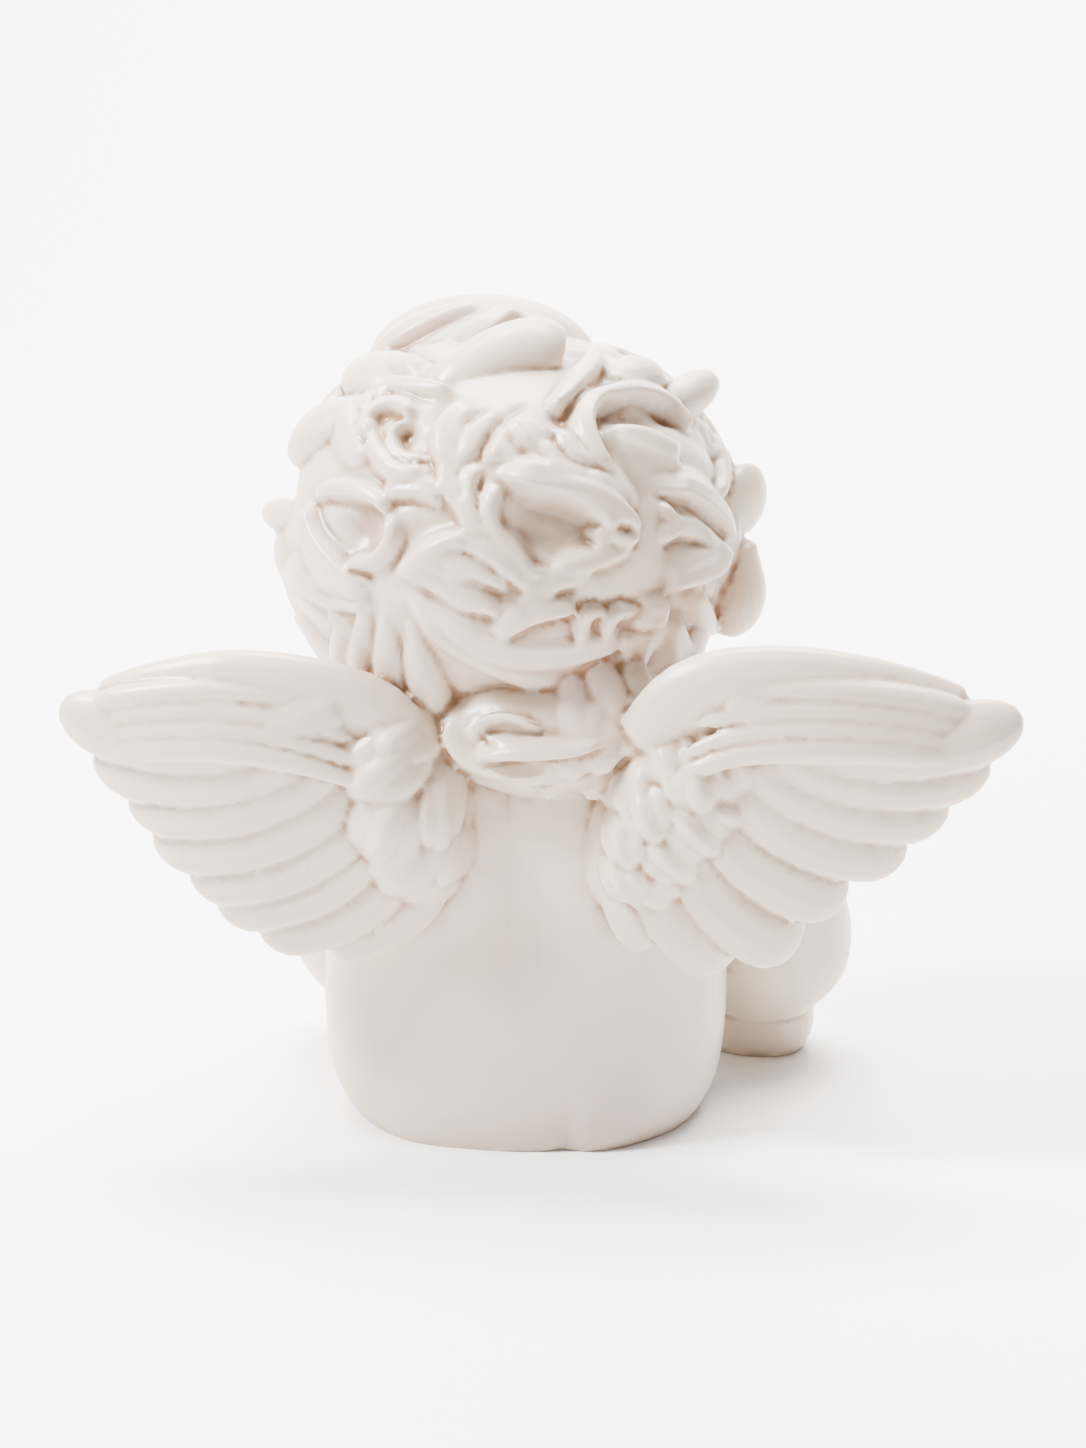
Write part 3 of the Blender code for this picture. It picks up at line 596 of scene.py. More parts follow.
# rows as for the broad bands
RIMS = (
    # hook and hollow
    ((555, 352), (630, 385), (686, 425), (699, 455), -1.3, 4.0),
    ((699, 452), (684, 482), (648, 476), (634, 456), -1.1, 3.6),
    ((425, 335), (410, 390), (430, 455), (468, 497), -1.3, 2.8),
    ((462, 372), (450, 420), (470, 475), (510, 508), -1.2, 2.8),
    ((495, 505), (540, 524), (588, 520), (612, 494), -1.3, 2.6),
    ((614, 500), (622, 478), (612, 455), -1.0, 2.6),
    ((530, 590), (575, 540), (640, 518), (690, 492), 1.5, 2.6),
    ((490, 600), (545, 565), (600, 550), 1.3, 2.4),
    # strands of the crown
    ((450, 235), (395, 285), (385, 335), 1.3, 2.6),
    ((515, 300), (550, 345), (620, 368), 1.1, 3.2),
    ((545, 275), (575, 330), (645, 352), 1.1, 3.4),
    # ring and straps
    ((660, 350), (632, 310), (620, 265), (640, 232), (690, 222), 1.5, 3.8),
    ((640, 232), (690, 222), (745, 240), (785, 285), 1.5, 3.6),
    ((775, 235), (815, 275), (838, 335), (835, 390), 1.5, 3.0),
    ((745, 400), (765, 430), (810, 455), -1.1, 2.8),
    # small round curl
    ((330, 345), (275, 335), (238, 285), 1.3, 3.6),
    ((240, 300), (238, 260), (268, 246), (298, 262), 1.3, 3.6),
    ((305, 265), (275, 285), (285, 315), (330, 325), -0.8, 2.8),
    ((345, 330), (350, 380), (372, 415), 1.4, 2.4),
    # open curl
    ((128, 405), (170, 398), (225, 408), (252, 430), 1.4, 3.2),
    ((252, 425), (252, 465), (228, 494), (185, 500), 1.2, 3.2),
    # veins of the leaf
    ((345, 505), (400, 530), (460, 560), 1.3, 3.1),
    ((315, 545), (380, 585), (450, 605), 1.5, 2.9),
    ((385, 480), (430, 505), (485, 555), 1.2, 3.1),
    # small curls low on the right
    ((700, 590), (660, 583), (632, 605), (630, 640), 1.2, 3.6),
    ((645, 590), (608, 585), (585, 610), (585, 650), 1.2, 3.4),
    ((700, 640), (672, 632), (660, 650), (668, 680), 1.0, 3.2),
)
print(len(HOLLOWS), "hollows and", len(RIMS), "rims")

# %% [markdown]
# ## Locks that stand free
#
# Where the outline of the head is broken, a lock stands off it. These are stretched spheres with a
# root, a tip and a lift, so the outline changes as the head is seen from another side.

# %% Locks, lobes and the short curls of the hairline
# each row: root (lon, lat, height over the hair), tip (the same), width and thickness
LOBES = (
    # right side, from the top
    (56, 59, 0.8, 86, 50, 2.6, 7.5, 5.5),
    (70, 44, 0.0, 96, 40, 7.8, 6.4, 6.2),
    (84, 26, 0.0, 95, 19, 1.4, 6.0, 5.0),
    (80, 4, 0.5, 98, 13, 6.2, 10.5, 5.0),
    (86, 0, 4.0, 90, -28, 4.4, 10.5, 9.0),
    (72, -15, 1.0, 66, -40, 1.6, 9.0, 6.0),
    # left side, from the top
    (-40, 62, -1.0, -92, 50, 3.2, 10.0, 6.0),
    (-50, 48, 0.6, -80, 24, 2.2, 10.5, 6.4),
    (-58, 23, -2.6, -78, 19, -2.2, 5.0, 5.0),
    (-62, 8, -0.8, -85, 5, 3.6, 5.0, 5.2),
    (-60, 0, -0.6, -82, -8, 0.6, 10.0, 6.0),
    (-74, -15, 0.0, -58, -40, 0.6, 10.0, 6.0),
    # the fan of locks that hangs at the left of the neck
    (-34, -10, 0.0, -50, -40, 3.4, 6.4, 6.4),
    (-30, -9, 0.6, -40, -46, 4.6, 6.2, 6.6),
    (-25, -10, 0.6, -29, -50, 5.2, 6.2, 6.8),
    (-19, -13, 0.2, -17, -51, 5.0, 6.2, 6.6),
)


def over_hair(lon, lat, high):
    """A place over the hair and the way out of the head there."""
    p = on_sphere(lon, lat)
    radii = [radius + mm(HAIR + high) for radius in SKULL_RADII]
    place = SKULL + Vector(a * b for a, b in zip(p, radii))
    return place, Vector(a / b for a, b in zip(p, radii)).normalized()


def opened(t, slow, quick):
    """The breadth along a lock or feather. It opens over the share slow, rounds off over quick."""
    if t in (0, 1):
        return 0
    full = 0.4 + 0.6 * ease(t / slow)
    if t > 1 - quick:
        full *= (1 - ((t - 1 + quick) / quick) ** 2) ** 0.5
    return full


# sections along a lobe, a feather or a leading edge
STATIONS = 16


def lobe(body, lon, lat, high, tip_lon, tip_lat, tip_high, width, thick):
    stations = []
    for step in range(STATIONS + 1):
        t = step / STATIONS
        rise = blend(high, tip_high, t * t) - thick * 0.3
        centre, outward = over_hair(blend(lon, tip_lon, t), blend(lat, tip_lat, t), rise)
        full = opened(t, 0.6, 0.35)
        stations.append((centre, mm(width) / 2 * full, mm(thick) / 2 * full, outward))
    skin(body, stations)


def lock(body, lon, lat, heading, length, turn, curl, width, thick, tip):
    """A curling lock laid over the hair, broad in its middle, with its end lifted off the head."""
    stations = []
    rows = walk(lon, lat, heading, length, turn, curl)
    for index, (p, _) in enumerate(rows):
        t = index / (len(rows) - 1)
        lift = mm(HAIR + thick * -0.35 + tip * t * t)
        centre = SKULL + Vector(a * (b + lift) for a, b in zip(p, SKULL_RADII))
        outward = Vector(a / b for a, b in zip(p, SKULL_RADII)).normalized()
        full = sin(pi * (0.04 + 0.94 * t**0.8)) ** 0.5 if 0 < t < 1 else 0
        stations.append((centre, mm(width) / 2 * full, mm(thick) / 2 * full, outward))
    skin(body, stations, sides=12)


def side_waves():
    """Plainer bands for the temples and the front of the crown, falling this way and that."""
    waves = []
    for row, (lat, count) in enumerate(((66, 5), (44, 7), (22, 8), (0, 8), (-22, 7))):
        for index in range(count):
            lon = 92 + 176 * (index + 0.5 * (row % 2)) / (count - 0.5)
            if abs(lon - 180) < 58 - abs(lat + 20) * 0.3 and lat < 36:
                continue
            turn = 1 if (index + row) % 2 else -1
            lip = (lon - 12 * turn, lat + 16, lon + 4 * turn, lat - 10)
            waves.append((*lip, 50 * turn, -60 * turn, -3.2 * turn, 2.2))
            hook = (*lip[2:], lon - 9 * turn, lat - 2)
            waves.append((*hook, 70 * turn, -80 * turn, -1.6 * turn, 2.6))
    return tuple(waves)


FACE_SINK = 5
CROWN_DIP = 1.6
NOTCH_DEPTH = 8.5
HAIR_DROP = 1.2


def hair_height(places):
    """The cap of hair: thick behind a scalloped hairline, and sunk inside the face before it."""
    beside = np.degrees(np.arctan2(np.abs(places[:, 0]), -places[:, 1]))
    up = np.degrees(np.arcsin(np.clip(places[:, 2], -1, 1)))
    around = np.arctan2(up + 20, beside * np.sign(places[:, 0]))
    edge = np.hypot(beside / 50, (up + 22) / 58) + 0.03 * np.sin(around * 13)
    cover = np.clip((edge - 0.92) / 0.2, 0, 1)
    height = mm(HAIR + FACE_SINK) * cover * cover * (3 - 2 * cover) - mm(FACE_SINK)
    # the crown is a little flat, and a notch in the outline on the left lies behind the ear
    height -= mm(CROWN_DIP) * np.exp(-((1 - places[:, 2]) / 0.12))
    notch = np.array(over_hair(-84, 9, 0)[0] - SKULL) / np.array(SKULL_RADII)
    notch /= np.linalg.norm(notch)
    height -= mm(NOTCH_DEPTH) * np.exp(-((1 - places @ notch) / 0.016))
    relief = relief_of(places, side_waves() + BANDS, SKULL_RADII[0])
    for hollow in HOLLOWS:
        relief = press(relief, places, SKULL_RADII[0], *hollow)
    relief = relief_of(places, RIMS, SKULL_RADII[0], relief, RIM_BREADTH, RIM_RISE)
    return height + relief - mm(HAIR_DROP)


def front_curls(body):
    """A row of short curls round the hairline, each a small scroll."""
    for index in range(11):
        turn = 1 if index % 2 else -1
        angle = radians(-20 + index * 22)
        lon = 180 + 56 * cos(angle)
        lat = -22 + 64 * sin(angle)
        lock(body, lon, lat, 150 * turn, 26, 90 * turn, 700 * turn, 6.5, 5.5, 0.8)


TUFT = at(8.5, -11, 109.7)
TUFT_RADII = (mm(16), mm(10), mm(9.2))
# each row: a sweep's six numbers, then half width and level
TUFT_WAVES = (
    (-65, 0, 10, 60, 15, -15, 3.0, 1.8),
    (-40, -12, 40, 55, 20, -20, 2.6, 2.0),
    (-12, -14, 60, 40, 20, -20, 2.4, 1.8),
    (20, -14, 75, 20, 10, -20, 2.0, 1.9),
)


def tuft_height(places):
    return relief_of(places, TUFT_WAVES, TUFT_RADII[0])


def hair(body):
    shell(body, SKULL, SKULL_RADII, hair_height, 7)
    for recipe in LOBES:
        lobe(body, *recipe)
    front_curls(body)
    shell(body, TUFT, TUFT_RADII, tuft_height, 6)
    roll = (
        (-3.5, 4, 111.8, 4.8),
        (-1, 5, 112.4, 5.8),
        (4, 7, 111.2, 5.6),
        (9, 9.5, 108.8, 4.8),
        (12.5, 11, 106.4, 3.4),
    )
    limb(body, roll)


hair(clay)
tell("hair")

# %% [markdown]
# ## Head, face and nape
#
# The face looks away from the photograph, so it is a plain calm child's face on the old measure of
# thirds: eyes at half height, nose and mouth on even thirds below. It is made of soft mounds on an
# ellipsoid. The nape carries a cluster of small curls, a shell of its own, and three locks that
# fall beside it.

# %% The face and the nape
FACE = at(4, -18, 82)
FACE_WIDE = 24
FACE_TALL = 21
FACE_RADII = (mm(FACE_WIDE), mm(19), mm(FACE_TALL))


def face_height(places):
    """Brow, eyes, nose, mouth, chin and cheeks as soft mounds on the face's ellipsoid."""
    beside = places[:, 0] * FACE_WIDE
    up = places[:, 2] * FACE_TALL
    front = np.clip(-places[:, 1], 0, 1)

    def mound(x, z, wide, tall, rise):
        return rise * np.exp(-(((np.abs(beside) - x) / wide) ** 2) - ((up - z) / tall) ** 2)

    height = mound(0, -16, 6, 4.5, 3.4)
    height += mound(12, -8, 7, 7, 3.0)
    height += mound(0, -3, 2.4, 3.6, 3.6) + mound(0, 2, 1.8, 5, 1.6)
    height += mound(2.6, -5.2, 1.5, 1.3, 1.2)
    height -= mound(8.4, 2.2, 4.6, 2.8, 2.4)
    height += mound(8.4, 1.7, 3.0, 1.9, 1.9)
    height += mound(8.0, 6.6, 5.5, 1.6, 0.7)
    height += mound(0, -9.2, 3.6, 1.0, 1.5) + mound(0, -12.0, 2.8, 1.1, 1.7)
    height -= mound(0, -10.6, 4.2, 0.5, 0.9)
    height -= mound(0, -13.8, 3.6, 0.9, 0.9)
    return height * mm(1) * front


NAPE = at(-4.5, 15.5, 61)
NAPE_RADII = (mm(17.5), mm(12), mm(9))
# rows as for the tuft
NAPE_WAVES = (
    # the outer turn of the spiral, and locks that hang to the right of it
    (-58, 36, 10, -30, 50, -50, 3.6, 2.2),
    (16, 50, 14, -30, -25, 20, -2.2, 2.2),
    (30, 50, 26, -26, -25, 20, -2.2, 2.6),
    (46, 48, 40, -14, -30, 25, -2.6, 3.0),
    (66, 42, 58, 4, -40, 35, -2.6, 3.4),
    # the inner turns and the leaf-shaped tip
    (-46, 24, 4, -20, 55, -60, 1.3, 3.2),
    (-34, 6, 0, 16, -70, 70, -1.2, 3.2),
    (-24, 12, -10, -8, 80, 60, 1.1, 3.4),
    (-30, -14, 26, 6, -15, -30, 2.0, 3.8),
)


def nape_height(places):
    return relief_of(places, NAPE_WAVES, NAPE_RADII[0])


# locks that fall over the right of the nape: x, y, z and radius along each
NAPE_LOCKS = (
    (
        (-6, 20.5, 72, 1.2),
        (-8, 23.4, 68, 2.6),
        (-9, 25, 63, 2.8),
        (-7, 25, 57, 2.2),
        (-4, 24.6, 53, 0.8),
    ),
    (
        (-11, 20, 73, 1.2),
        (-12, 22.6, 69, 3.0),
        (-14, 24, 63, 3.2),
        (-13, 24, 57, 2.6),
        (-10, 24, 53, 0.8),
    ),
    (
        (-16, 17, 73, 1.2),
        (-16, 20.6, 69, 3.0),
        (-18, 22, 64, 3.0),
        (-20, 21, 60, 2.4),
        (-23, 20, 58, 0.8),
    ),
)


def nape_locks(body):
    for points in NAPE_LOCKS:
        limb(body, points, flat=0.8)


def head(body):
    """Skull, face and neck, with the curls and locks of the nape."""
    blob(body, SKULL, (29, 30, 26))
    shell(body, FACE, FACE_RADII, face_height)
    blob(body, at(3, 2, 62), (15, 14, 13))
    blob(body, at(3, -14, 61), (14, 12, 7))
    shell(body, NAPE, NAPE_RADII, nape_height, 6)
    nape_locks(body)


head(clay)
tell("head")

# %% [markdown]
# ## Wings
#
# A small carved wing has a thick leading edge with slender feathers under it, a fan of long
# feathers, and short soft ones that cover their roots like scales. Each long feather is a stretched
# sphere, turned a little about its shaft so that its lower edge lies over the next one. The short
# ones are low domes on one cushion.

# %% Both wings
# outward and up, in figure millimetres: the inner edge, the roots and tips of the long feathers,
# each from the top down, and the leading edge from the shoulder outwards; -1 is the right wing
WINGS = {
    -1: {
        "inner": ((23, 70), (18.5, 63), (12.5, 56.5), (8.5, 50), (10, 42), (15, 37)),
        "roots": ((31, 69), (32, 64), (29, 57), (24, 50), (18, 45)),
        "tips": (
            (69.6, 66.3),
            (65.4, 60),
            (60, 54),
            (54.5, 48),
            (46.5, 41),
            (40, 33),
            (31, 30.5),
            (22, 33),
        ),
        "lead": ((17, 62), (23, 68.6), (30, 71.6), (41, 72.4), (53, 71), (63, 68.5)),
    },
    1: {
        "inner": ((19, 69), (14.5, 64), (11.5, 57), (10, 48), (11.5, 41), (15, 37)),
        "roots": ((25, 67), (24, 62), (21, 55), (18, 49), (13, 43)),
        "tips": (
            (63.6, 65.3),
            (59, 58.3),
            (54.2, 52.5),
            (51, 47),
            (46, 42),
            (42.6, 38.2),
            (37, 34.5),
            (28, 33),
        ),
        "lead": ((13, 60), (19, 66), (28, 69), (39, 70.4), (50, 69.2), (59, 67.2)),
    },
}
# the soft short feathers: outward, up, half length, half width and slant in degrees
COVERTS = {
    -1: (
        (35, 68, 5.6, 3.2, 15),
        (27, 66, 5.2, 3.8, 20),
        (20, 62, 4.8, 4.2, 45),
        (37, 62, 5.0, 2.8, 35),
        (31, 59, 5.2, 4.0, 50),
        (25, 58, 4.6, 3.8, 60),
        (15, 57, 4.0, 3.8, 60),
        (31, 52, 5.6, 3.2, 15),
        (25, 51, 4.6, 3.2, 40),
        (19, 53, 3.8, 3.2, 50),
        (31, 47, 5.6, 3.0, 10),
        (27, 43, 5.2, 3.0, 10),
        (22, 47, 3.8, 3.2, 30),
        (16, 49, 3.4, 2.8, 60),
        (16, 43, 3.4, 2.8, 45),
        (21, 40, 4.6, 3.0, 20),
    ),
    1: (
        (23, 67, 5.2, 3.2, 10),
        (26, 63, 5.2, 3.8, 20),
        (14, 63, 5.2, 4.2, 30),
        (24, 59, 5.0, 3.0, 20),
        (17, 58, 5.2, 4.2, 30),
        (17, 50, 4.8, 4.4, 60),
        (10, 52, 4.8, 2.6, 80),
        (14, 43, 5.6, 4.2, 20),
        (9, 45, 3.4, 3.2, 60),
        (12, 38, 4.6, 3.2, 20),
    ),
}
# the cushion they lie on: outward, up, half width, half height and lean
CUSHIONS = {-1: (24, 53, 13, 18, 0.45), 1: (17, 53, 11, 17, 0.2)}
COVERT_RISE = 2.8
# how far back the wings lie, and the wingspan, in figure millimetres
WING_BACK = 20
SPAN = 131


def covert_height(side):
    """Low domes like scales over the cushion, each highest towards its tip."""
    out, high, wide, tall, lean = CUSHIONS[side]

    def height_at(places):
        z = high + places[:, 2] * tall
        x = out + side * places[:, 0] * wide + lean * (z - high)
        height = np.zeros(len(places))
        for ox, oz, long, width, slant in COVERTS[side]:
            c, s = cos(radians(slant)), sin(radians(slant))
            u = ((x - ox) * c - (z - oz) * s) / (long * 1.25)
            v = ((x - ox) * s + (z - oz) * c) / (width * 1.25)
            dome = np.sqrt(np.clip(1 - u * u - v * v, 0, 1)) * (1 + 0.35 * u)
            dome *= 1 + 0.13 * np.cos(8 * v + 2 * u)
            height = np.maximum(height, dome)
        return height * mm(COVERT_RISE) * np.clip(places[:, 1], 0, 1)

    return height_at


def closing(share):
    """Stations that crowd towards the far end, so that a feather rounds off smoothly."""
    return 1 - (1 - share) ** 1.6


def wing(body, side):
    """Long feathers fanned out from the wrist, soft ones over their roots, the leading edge."""
    shape = WINGS[side]
    names = ("inner", "roots", "tips", "lead")
    inner, roots, tips, lead = (smooth_route(shape[name], 40) for name in names)
    reach = WINGSPAN / mm(SPAN)

    def along(curve, share):
        place = min(max(share, 0.0), 1.0) * 40
        low = min(int(place), 39)
        return Vector([blend(a, b, place - low) for a, b in zip(curve[low], curve[low + 1])])

    def back(flat, raised):
        """The wing sweeps back from the shoulder and turns a little forward at its tip."""
        out = flat.x / 66
        return WING_BACK + 6 * sin(pi * min(1, out * 0.95)) + raised

    def place(share, stretch, raised, droop):
        """stretch runs from 0 at the inner edge through 1 at the roots to 2 at the tips."""
        if stretch < 1:
            flat = along(inner, share).lerp(along(roots, share), stretch)
        else:
            start, end = along(roots, share), along(tips, share)
            flat = start.lerp(end, stretch - 1)
            flat += Vector((end.y - start.y, start.x - end.x)) * (droop * sin(pi * (stretch - 1)))
        sunk = 4 * share * max(stretch - 1, 0)
        return at(side * flat.x * reach, back(flat, raised - sunk), flat.y)

    def feather(share, start, end, width, raised, droop=0.0, thick=1.0):
        stations = []
        for step in range(STATIONS + 1):
            t = closing(step / STATIONS)
            full = opened(t, 0.5, 0.15)
            here = place(share, blend(start, end, t), raised + 1.2 * t, droop)
            half = FEATHER_THICKNESS * thick / 2 * full
            # turned a little about its shaft, so that its lower edge lies over the next one
            stations.append((here, mm(width) * full, half, Vector((0, 1, 0.22))))
        skin(body, stations, sides=12)

    count = len(shape["tips"])
    for index in range(count):
        share = index / (count - 1)
        wide = 5.0 + share * 1.5
        feather(share, 0.55, 2.0, wide, 3.4 - 3.4 * share, 0.13, 1.1)
    # slender feathers side by side under the leading edge
    for row in range(4):
        stations = []
        for step in range(STATIONS + 1):
            t = closing(step / STATIONS)
            flat = along(lead, blend(0.34 - 0.07 * row, 0.99 - 0.02 * row, t))
            flat -= Vector((0, 1.8 + (3.2 - 1.1 * t) * row))
            full = opened(t, 0.7, 0.18)
            here = at(side * flat.x * reach, back(flat, 4.6 + 0.5 * row), flat.y)
            stations.append((here, mm(2.2) * full, mm(1.6) * full, Vector((0, 1, 0.3))))
        skin(body, stations, sides=12)
    out, high, wide, tall, lean = CUSHIONS[side]
    centre = at(side * out * reach, WING_BACK, high)
    shell(body, centre, (mm(wide), mm(10), mm(tall)), covert_height(side), 7, side * lean)
    stations = []
    for step in range(STATIONS + 1):
        t = step / STATIONS
        flat = along(lead, t) - Vector((0, 1.6))
        radius = blend(5.6, 3.4, t) * sin(pi * (0.06 + 0.88 * t)) ** 0.4
        if step in (0, STATIONS):
            radius = 0
        here = at(side * flat.x * reach, back(flat, 2.0), flat.y)
        stations.append((here, mm(radius) * 1.25, mm(radius) * 0.72, Vector((0, 1, 0))))
    skin(body, stations)


wing(clay, -1)
wing(clay, 1)
tell("wings")

# %% [markdown]
# ## One skin
#
# The forms now cross each other in many places. A voxel remesh reads them as one volume and gives
# one closed skin, as a casting has. A light smoothing takes off the grain of the voxels, and a
# decimation brings the count down where the skin is plain. The result is kept as a plain mesh, and
# cut level on the ground.

# %% Join, soften and thin out
rough_mesh = bpy.data.meshes.new("putto clay")
clay.to_mesh(rough_mesh)
clay.free()
rough = bpy.data.objects.new("putto_clay", rough_mesh)
bpy.context.scene.collection.objects.link(rough)
remesh = rough.modifiers.new("one skin", "REMESH")
remesh.mode = "VOXEL"
remesh.voxel_size = GRAIN
soften = rough.modifiers.new("soften", "SMOOTH")
soften.factor = 0.5
soften.iterations = 2


def settled(thing):
    """The mesh that the object's modifiers give, as a mesh of its own."""
    graph = bpy.context.evaluated_depsgraph_get()
    return bpy.data.meshes.new_from_object(thing.evaluated_get(graph))


dense = settled(rough)
print("one skin:", len(dense.polygons), "faces")
rough.modifiers.clear()
rough.data = dense
thin_out = rough.modifiers.new("thin out", "DECIMATE")
thin_out.ratio = min(1.0, MOST_TRIANGLES / (2 * len(dense.polygons)))
cast_mesh = settled(rough)
bpy.data.objects.remove(rough)

# %% Cut the underside level
form = bmesh.new()
form.from_mesh(cast_mesh)
everything = form.verts[:] + form.edges[:] + form.faces[:]
bmesh.ops.bisect_plane(
    form, geom=everything, plane_co=(0, 0, 0), plane_no=(0, 0, -1), clear_outer=True
)
cut_edges = [edge for edge in form.edges if edge.is_boundary]
bmesh.ops.holes_fill(form, edges=cut_edges, sides=0)
bmesh.ops.triangulate(form, faces=form.faces[:])
form.to_mesh(cast_mesh)
form.free()
cast_mesh.shade_smooth()
putto_cast = bpy.data.objects.new("putto_cast", cast_mesh)
bpy.context.scene.collection.objects.link(putto_cast)
print("cast:", len(cast_mesh.polygons), "triangles")

# %% [markdown]
# ## Ivory stone resin
#
# The cast is warm ivory, satin, and a little translucent: light goes a few millimetres in, so thin
# lips of hair glow and deep creases look warm. Subsurface scattering gives the glow. The creases are
# also painted darker and warmer from pointiness, which measures how hollow the mesh is at each
# place: this is painted shade, standing in for the shade that falls into them. Faint clouds of tone
# and a very fine bump keep the large plain areas from looking like plastic.

# %% The finish of the cast
IVORY = (0.63, 0.51, 0.41, 1)
# painted shade: the dark warm colour given to the creases where shade falls, not a colour of the
# resin
PAINTED_CREASE_SHADE = (0.27, 0.15, 0.08, 1)
# pointiness where the painted shade in creases is darkest, and where the surface counts as plain
DEEP, PLAIN = 0.465, 0.502
ROUGHNESS = 0.33
SHINE = 0.45
GLOW_SHARE = 0.25
GLOW_COLOUR = (1.0, 0.62, 0.40)
GLOW_DEPTH = 0.0015
CLOUDS_PER_M, CLOUD_SHARE = 45, 0.10
GRAINS_PER_M, GRAIN_STRENGTH, GRAIN_DEPTH = 900, 0.10, 0.0004

stone = bpy.data.materials.new("ivory stone resin")
stone.use_nodes = True
nodes, links = stone.node_tree.nodes, stone.node_tree.links
surface = nodes["Principled BSDF"]
surface.inputs["Roughness"].default_value = ROUGHNESS
surface.inputs["Subsurface Weight"].default_value = GLOW_SHARE
surface.inputs["Subsurface Radius"].default_value = GLOW_COLOUR
surface.inputs["Subsurface Scale"].default_value = GLOW_DEPTH
surface.inputs["Specular IOR Level"].default_value = SHINE

place = nodes.new("ShaderNodeTexCoord")
hollow = nodes.new("ShaderNodeNewGeometry")
# painted shade: a ramp from pointiness that darkens the creases, standing in for their shade
painted_shade_ramp = nodes.new("ShaderNodeValToRGB")
painted_shade_ramp.color_ramp.elements[0].position = DEEP
painted_shade_ramp.color_ramp.elements[0].color = PAINTED_CREASE_SHADE
painted_shade_ramp.color_ramp.elements[1].position = PLAIN
painted_shade_ramp.color_ramp.elements[1].color = IVORY
links.new(hollow.outputs["Pointiness"], painted_shade_ramp.inputs["Fac"])

clouds = nodes.new("ShaderNodeTexNoise")
clouds.inputs["Scale"].default_value = CLOUDS_PER_M
clouds.inputs["Detail"].default_value = 3
links.new(place.outputs["Object"], clouds.inputs["Vector"])
tone = nodes.new("ShaderNodeMix")
tone.data_type = "RGBA"
tone.blend_type = "MULTIPLY"
tone.inputs["Factor"].default_value = CLOUD_SHARE
links.new(painted_shade_ramp.outputs["Color"], tone.inputs["A"])
links.new(clouds.outputs["Color"], tone.inputs["B"])
links.new(tone.outputs["Result"], surface.inputs["Base Color"])

grain = nodes.new("ShaderNodeTexNoise")
grain.inputs["Scale"].default_value = GRAINS_PER_M
grain.inputs["Detail"].default_value = 4
links.new(place.outputs["Object"], grain.inputs["Vector"])
skin_bump = nodes.new("ShaderNodeBump")
skin_bump.inputs["Strength"].default_value = GRAIN_STRENGTH
skin_bump.inputs["Distance"].default_value = GRAIN_DEPTH
links.new(grain.outputs["Fac"], skin_bump.inputs["Height"])
links.new(skin_bump.outputs["Normal"], surface.inputs["Normal"])
putto_cast.data.materials.clear()
putto_cast.data.materials.append(stone)
print("finish:", stone.name, "with", len(nodes), "nodes")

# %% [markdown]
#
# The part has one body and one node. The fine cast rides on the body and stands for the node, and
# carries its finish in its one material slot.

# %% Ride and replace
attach(putto_cast, "root")
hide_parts("putto")

# %% [markdown]
# ## Backdrop and light
#
# The photograph is a product picture on pure white, with soft light from above and from the left. A
# paper sweep does this in a studio: it lies under the figure, curves up far behind it, and gets a
# light of its own. One small area light hangs over the left shoulder of the picture and draws the
# relief, a weak one behind the camera opens the shadows, and a dim warm world lights the rest.

# %% The paper sweep
BACK_EDGE = -0.60
BEND_RADIUS = 0.60
TOP_EDGE = 4.0
HALF_WIDE = 4.0
NEAR_EDGE = 3.0
BEND_STEPS = 16
WHITE = (0.93, 0.93, 0.93, 1)
PAPER_ROUGHNESS = 0.9
profile = [(NEAR_EDGE, 0.0)]
for step in range(BEND_STEPS + 1):
    turn = pi / 2 * step / BEND_STEPS
    profile.append((BACK_EDGE - BEND_RADIUS * sin(turn), BEND_RADIUS * (1 - cos(turn))))
profile.append((BACK_EDGE - BEND_RADIUS, TOP_EDGE))
floor_form = bmesh.new()
left, right = (
    [floor_form.verts.new((x, y, z)) for y, z in profile] for x in (-HALF_WIDE, HALF_WIDE)
)
for i in range(len(profile) - 1):
    floor_form.faces.new((left[i], right[i], right[i + 1], left[i + 1]))
bmesh.ops.recalc_face_normals(floor_form, faces=floor_form.faces[:])
floor_mesh = bpy.data.meshes.new("paper sweep")
floor_form.to_mesh(floor_mesh)
floor_form.free()
floor_mesh.shade_smooth()
floor = bpy.data.objects.new("floor", floor_mesh)
bpy.context.scene.collection.objects.link(floor)
paper = bpy.data.materials.new("white paper")
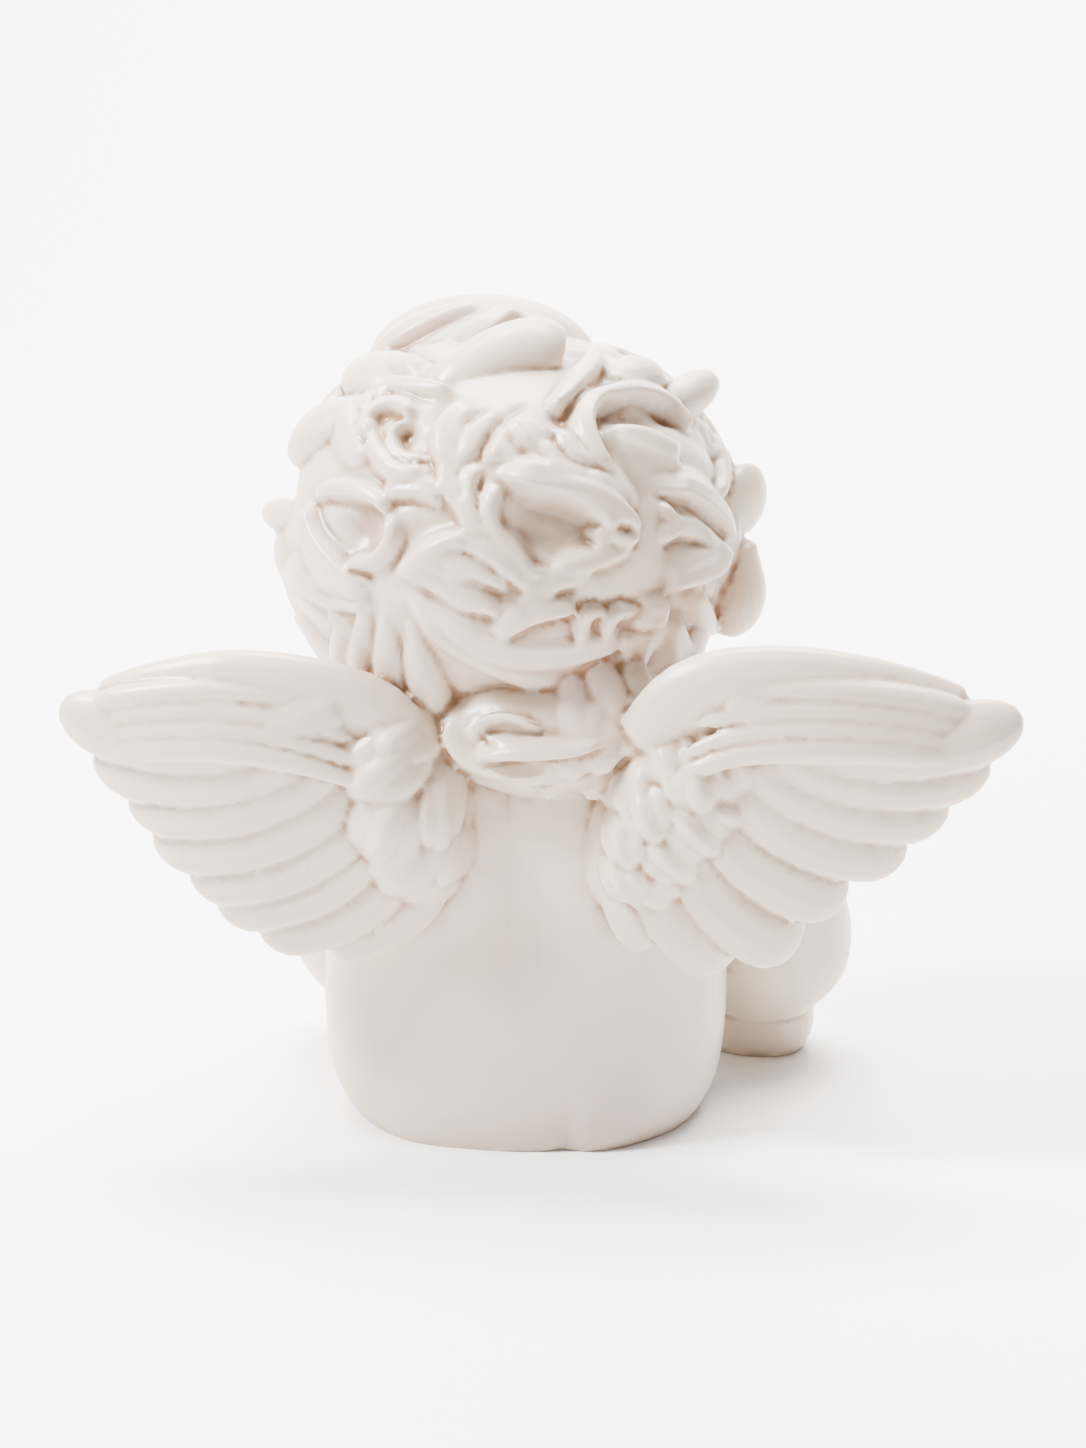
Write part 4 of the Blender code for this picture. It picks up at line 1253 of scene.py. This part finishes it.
paper.use_nodes = True
paper.node_tree.nodes["Principled BSDF"].inputs["Base Color"].default_value = WHITE
paper.node_tree.nodes["Principled BSDF"].inputs["Roughness"].default_value = PAPER_ROUGHNESS
floor.data.materials.append(paper)
print("sweep of", len(floor_mesh.polygons), "faces")

# %% The lights
WARM_DIM = (1, 0.84, 0.70, 1)
WORLD_STRENGTH = 0.08
world = bpy.data.worlds.new("studio")
bpy.context.scene.world = world
world.use_nodes = True
world.node_tree.nodes["Background"].inputs["Color"].default_value = WARM_DIM
world.node_tree.nodes["Background"].inputs["Strength"].default_value = WORLD_STRENGTH


def soft_light(name, place_m, size_m, watts, look_at_m=(0, 0, 0.06)):
    """A square area light that looks at a place, the middle of the figure if none is named."""
    lamp = bpy.data.lights.new(name, "AREA")
    lamp.size = size_m
    lamp.energy = watts
    thing = bpy.data.objects.new(name, lamp)
    thing.location = place_m
    thing.rotation_euler = (Vector(look_at_m) - Vector(place_m)).to_track_quat("-Z", "Y").to_euler()
    bpy.context.scene.collection.objects.link(thing)
    return thing


soft_light("key", (0.34, 0.14, 0.46), 0.12, 13.0)
soft_light("front", (0.06, 0.80, 0.42), 0.40, 1.2)
soft_light("backdrop", (0.0, -0.45, 1.30), 1.00, 150.0, (0.0, -1.30, 0.20))
print("three lights: two on the figure and one on the paper behind it")

# %% [markdown]
# ## Camera
#
# The photograph was taken from behind, a little to one side and from a little above, close enough
# for some perspective. The eye is the one that the hair was read from. The lens follows from its
# distance and from how many millimetres one pixel of the photograph covers at the figure.

# %% The camera
camera = bpy.data.objects.new("camera", bpy.data.cameras.new("camera"))
bpy.context.scene.collection.objects.link(camera)
SENSOR = 36
camera.data.sensor_width = SENSOR
camera.data.lens = DISTANCE * 1000 / MM_PER_PIXEL * SENSOR / PHOTO_TALL
camera.data.clip_start = 0.01
camera.location = EYE
camera.rotation_euler = (-AWAY).to_track_quat("-Z", "Y").to_euler()
bpy.context.scene.camera = camera
print("lens", round(camera.data.lens, 1), "mm")
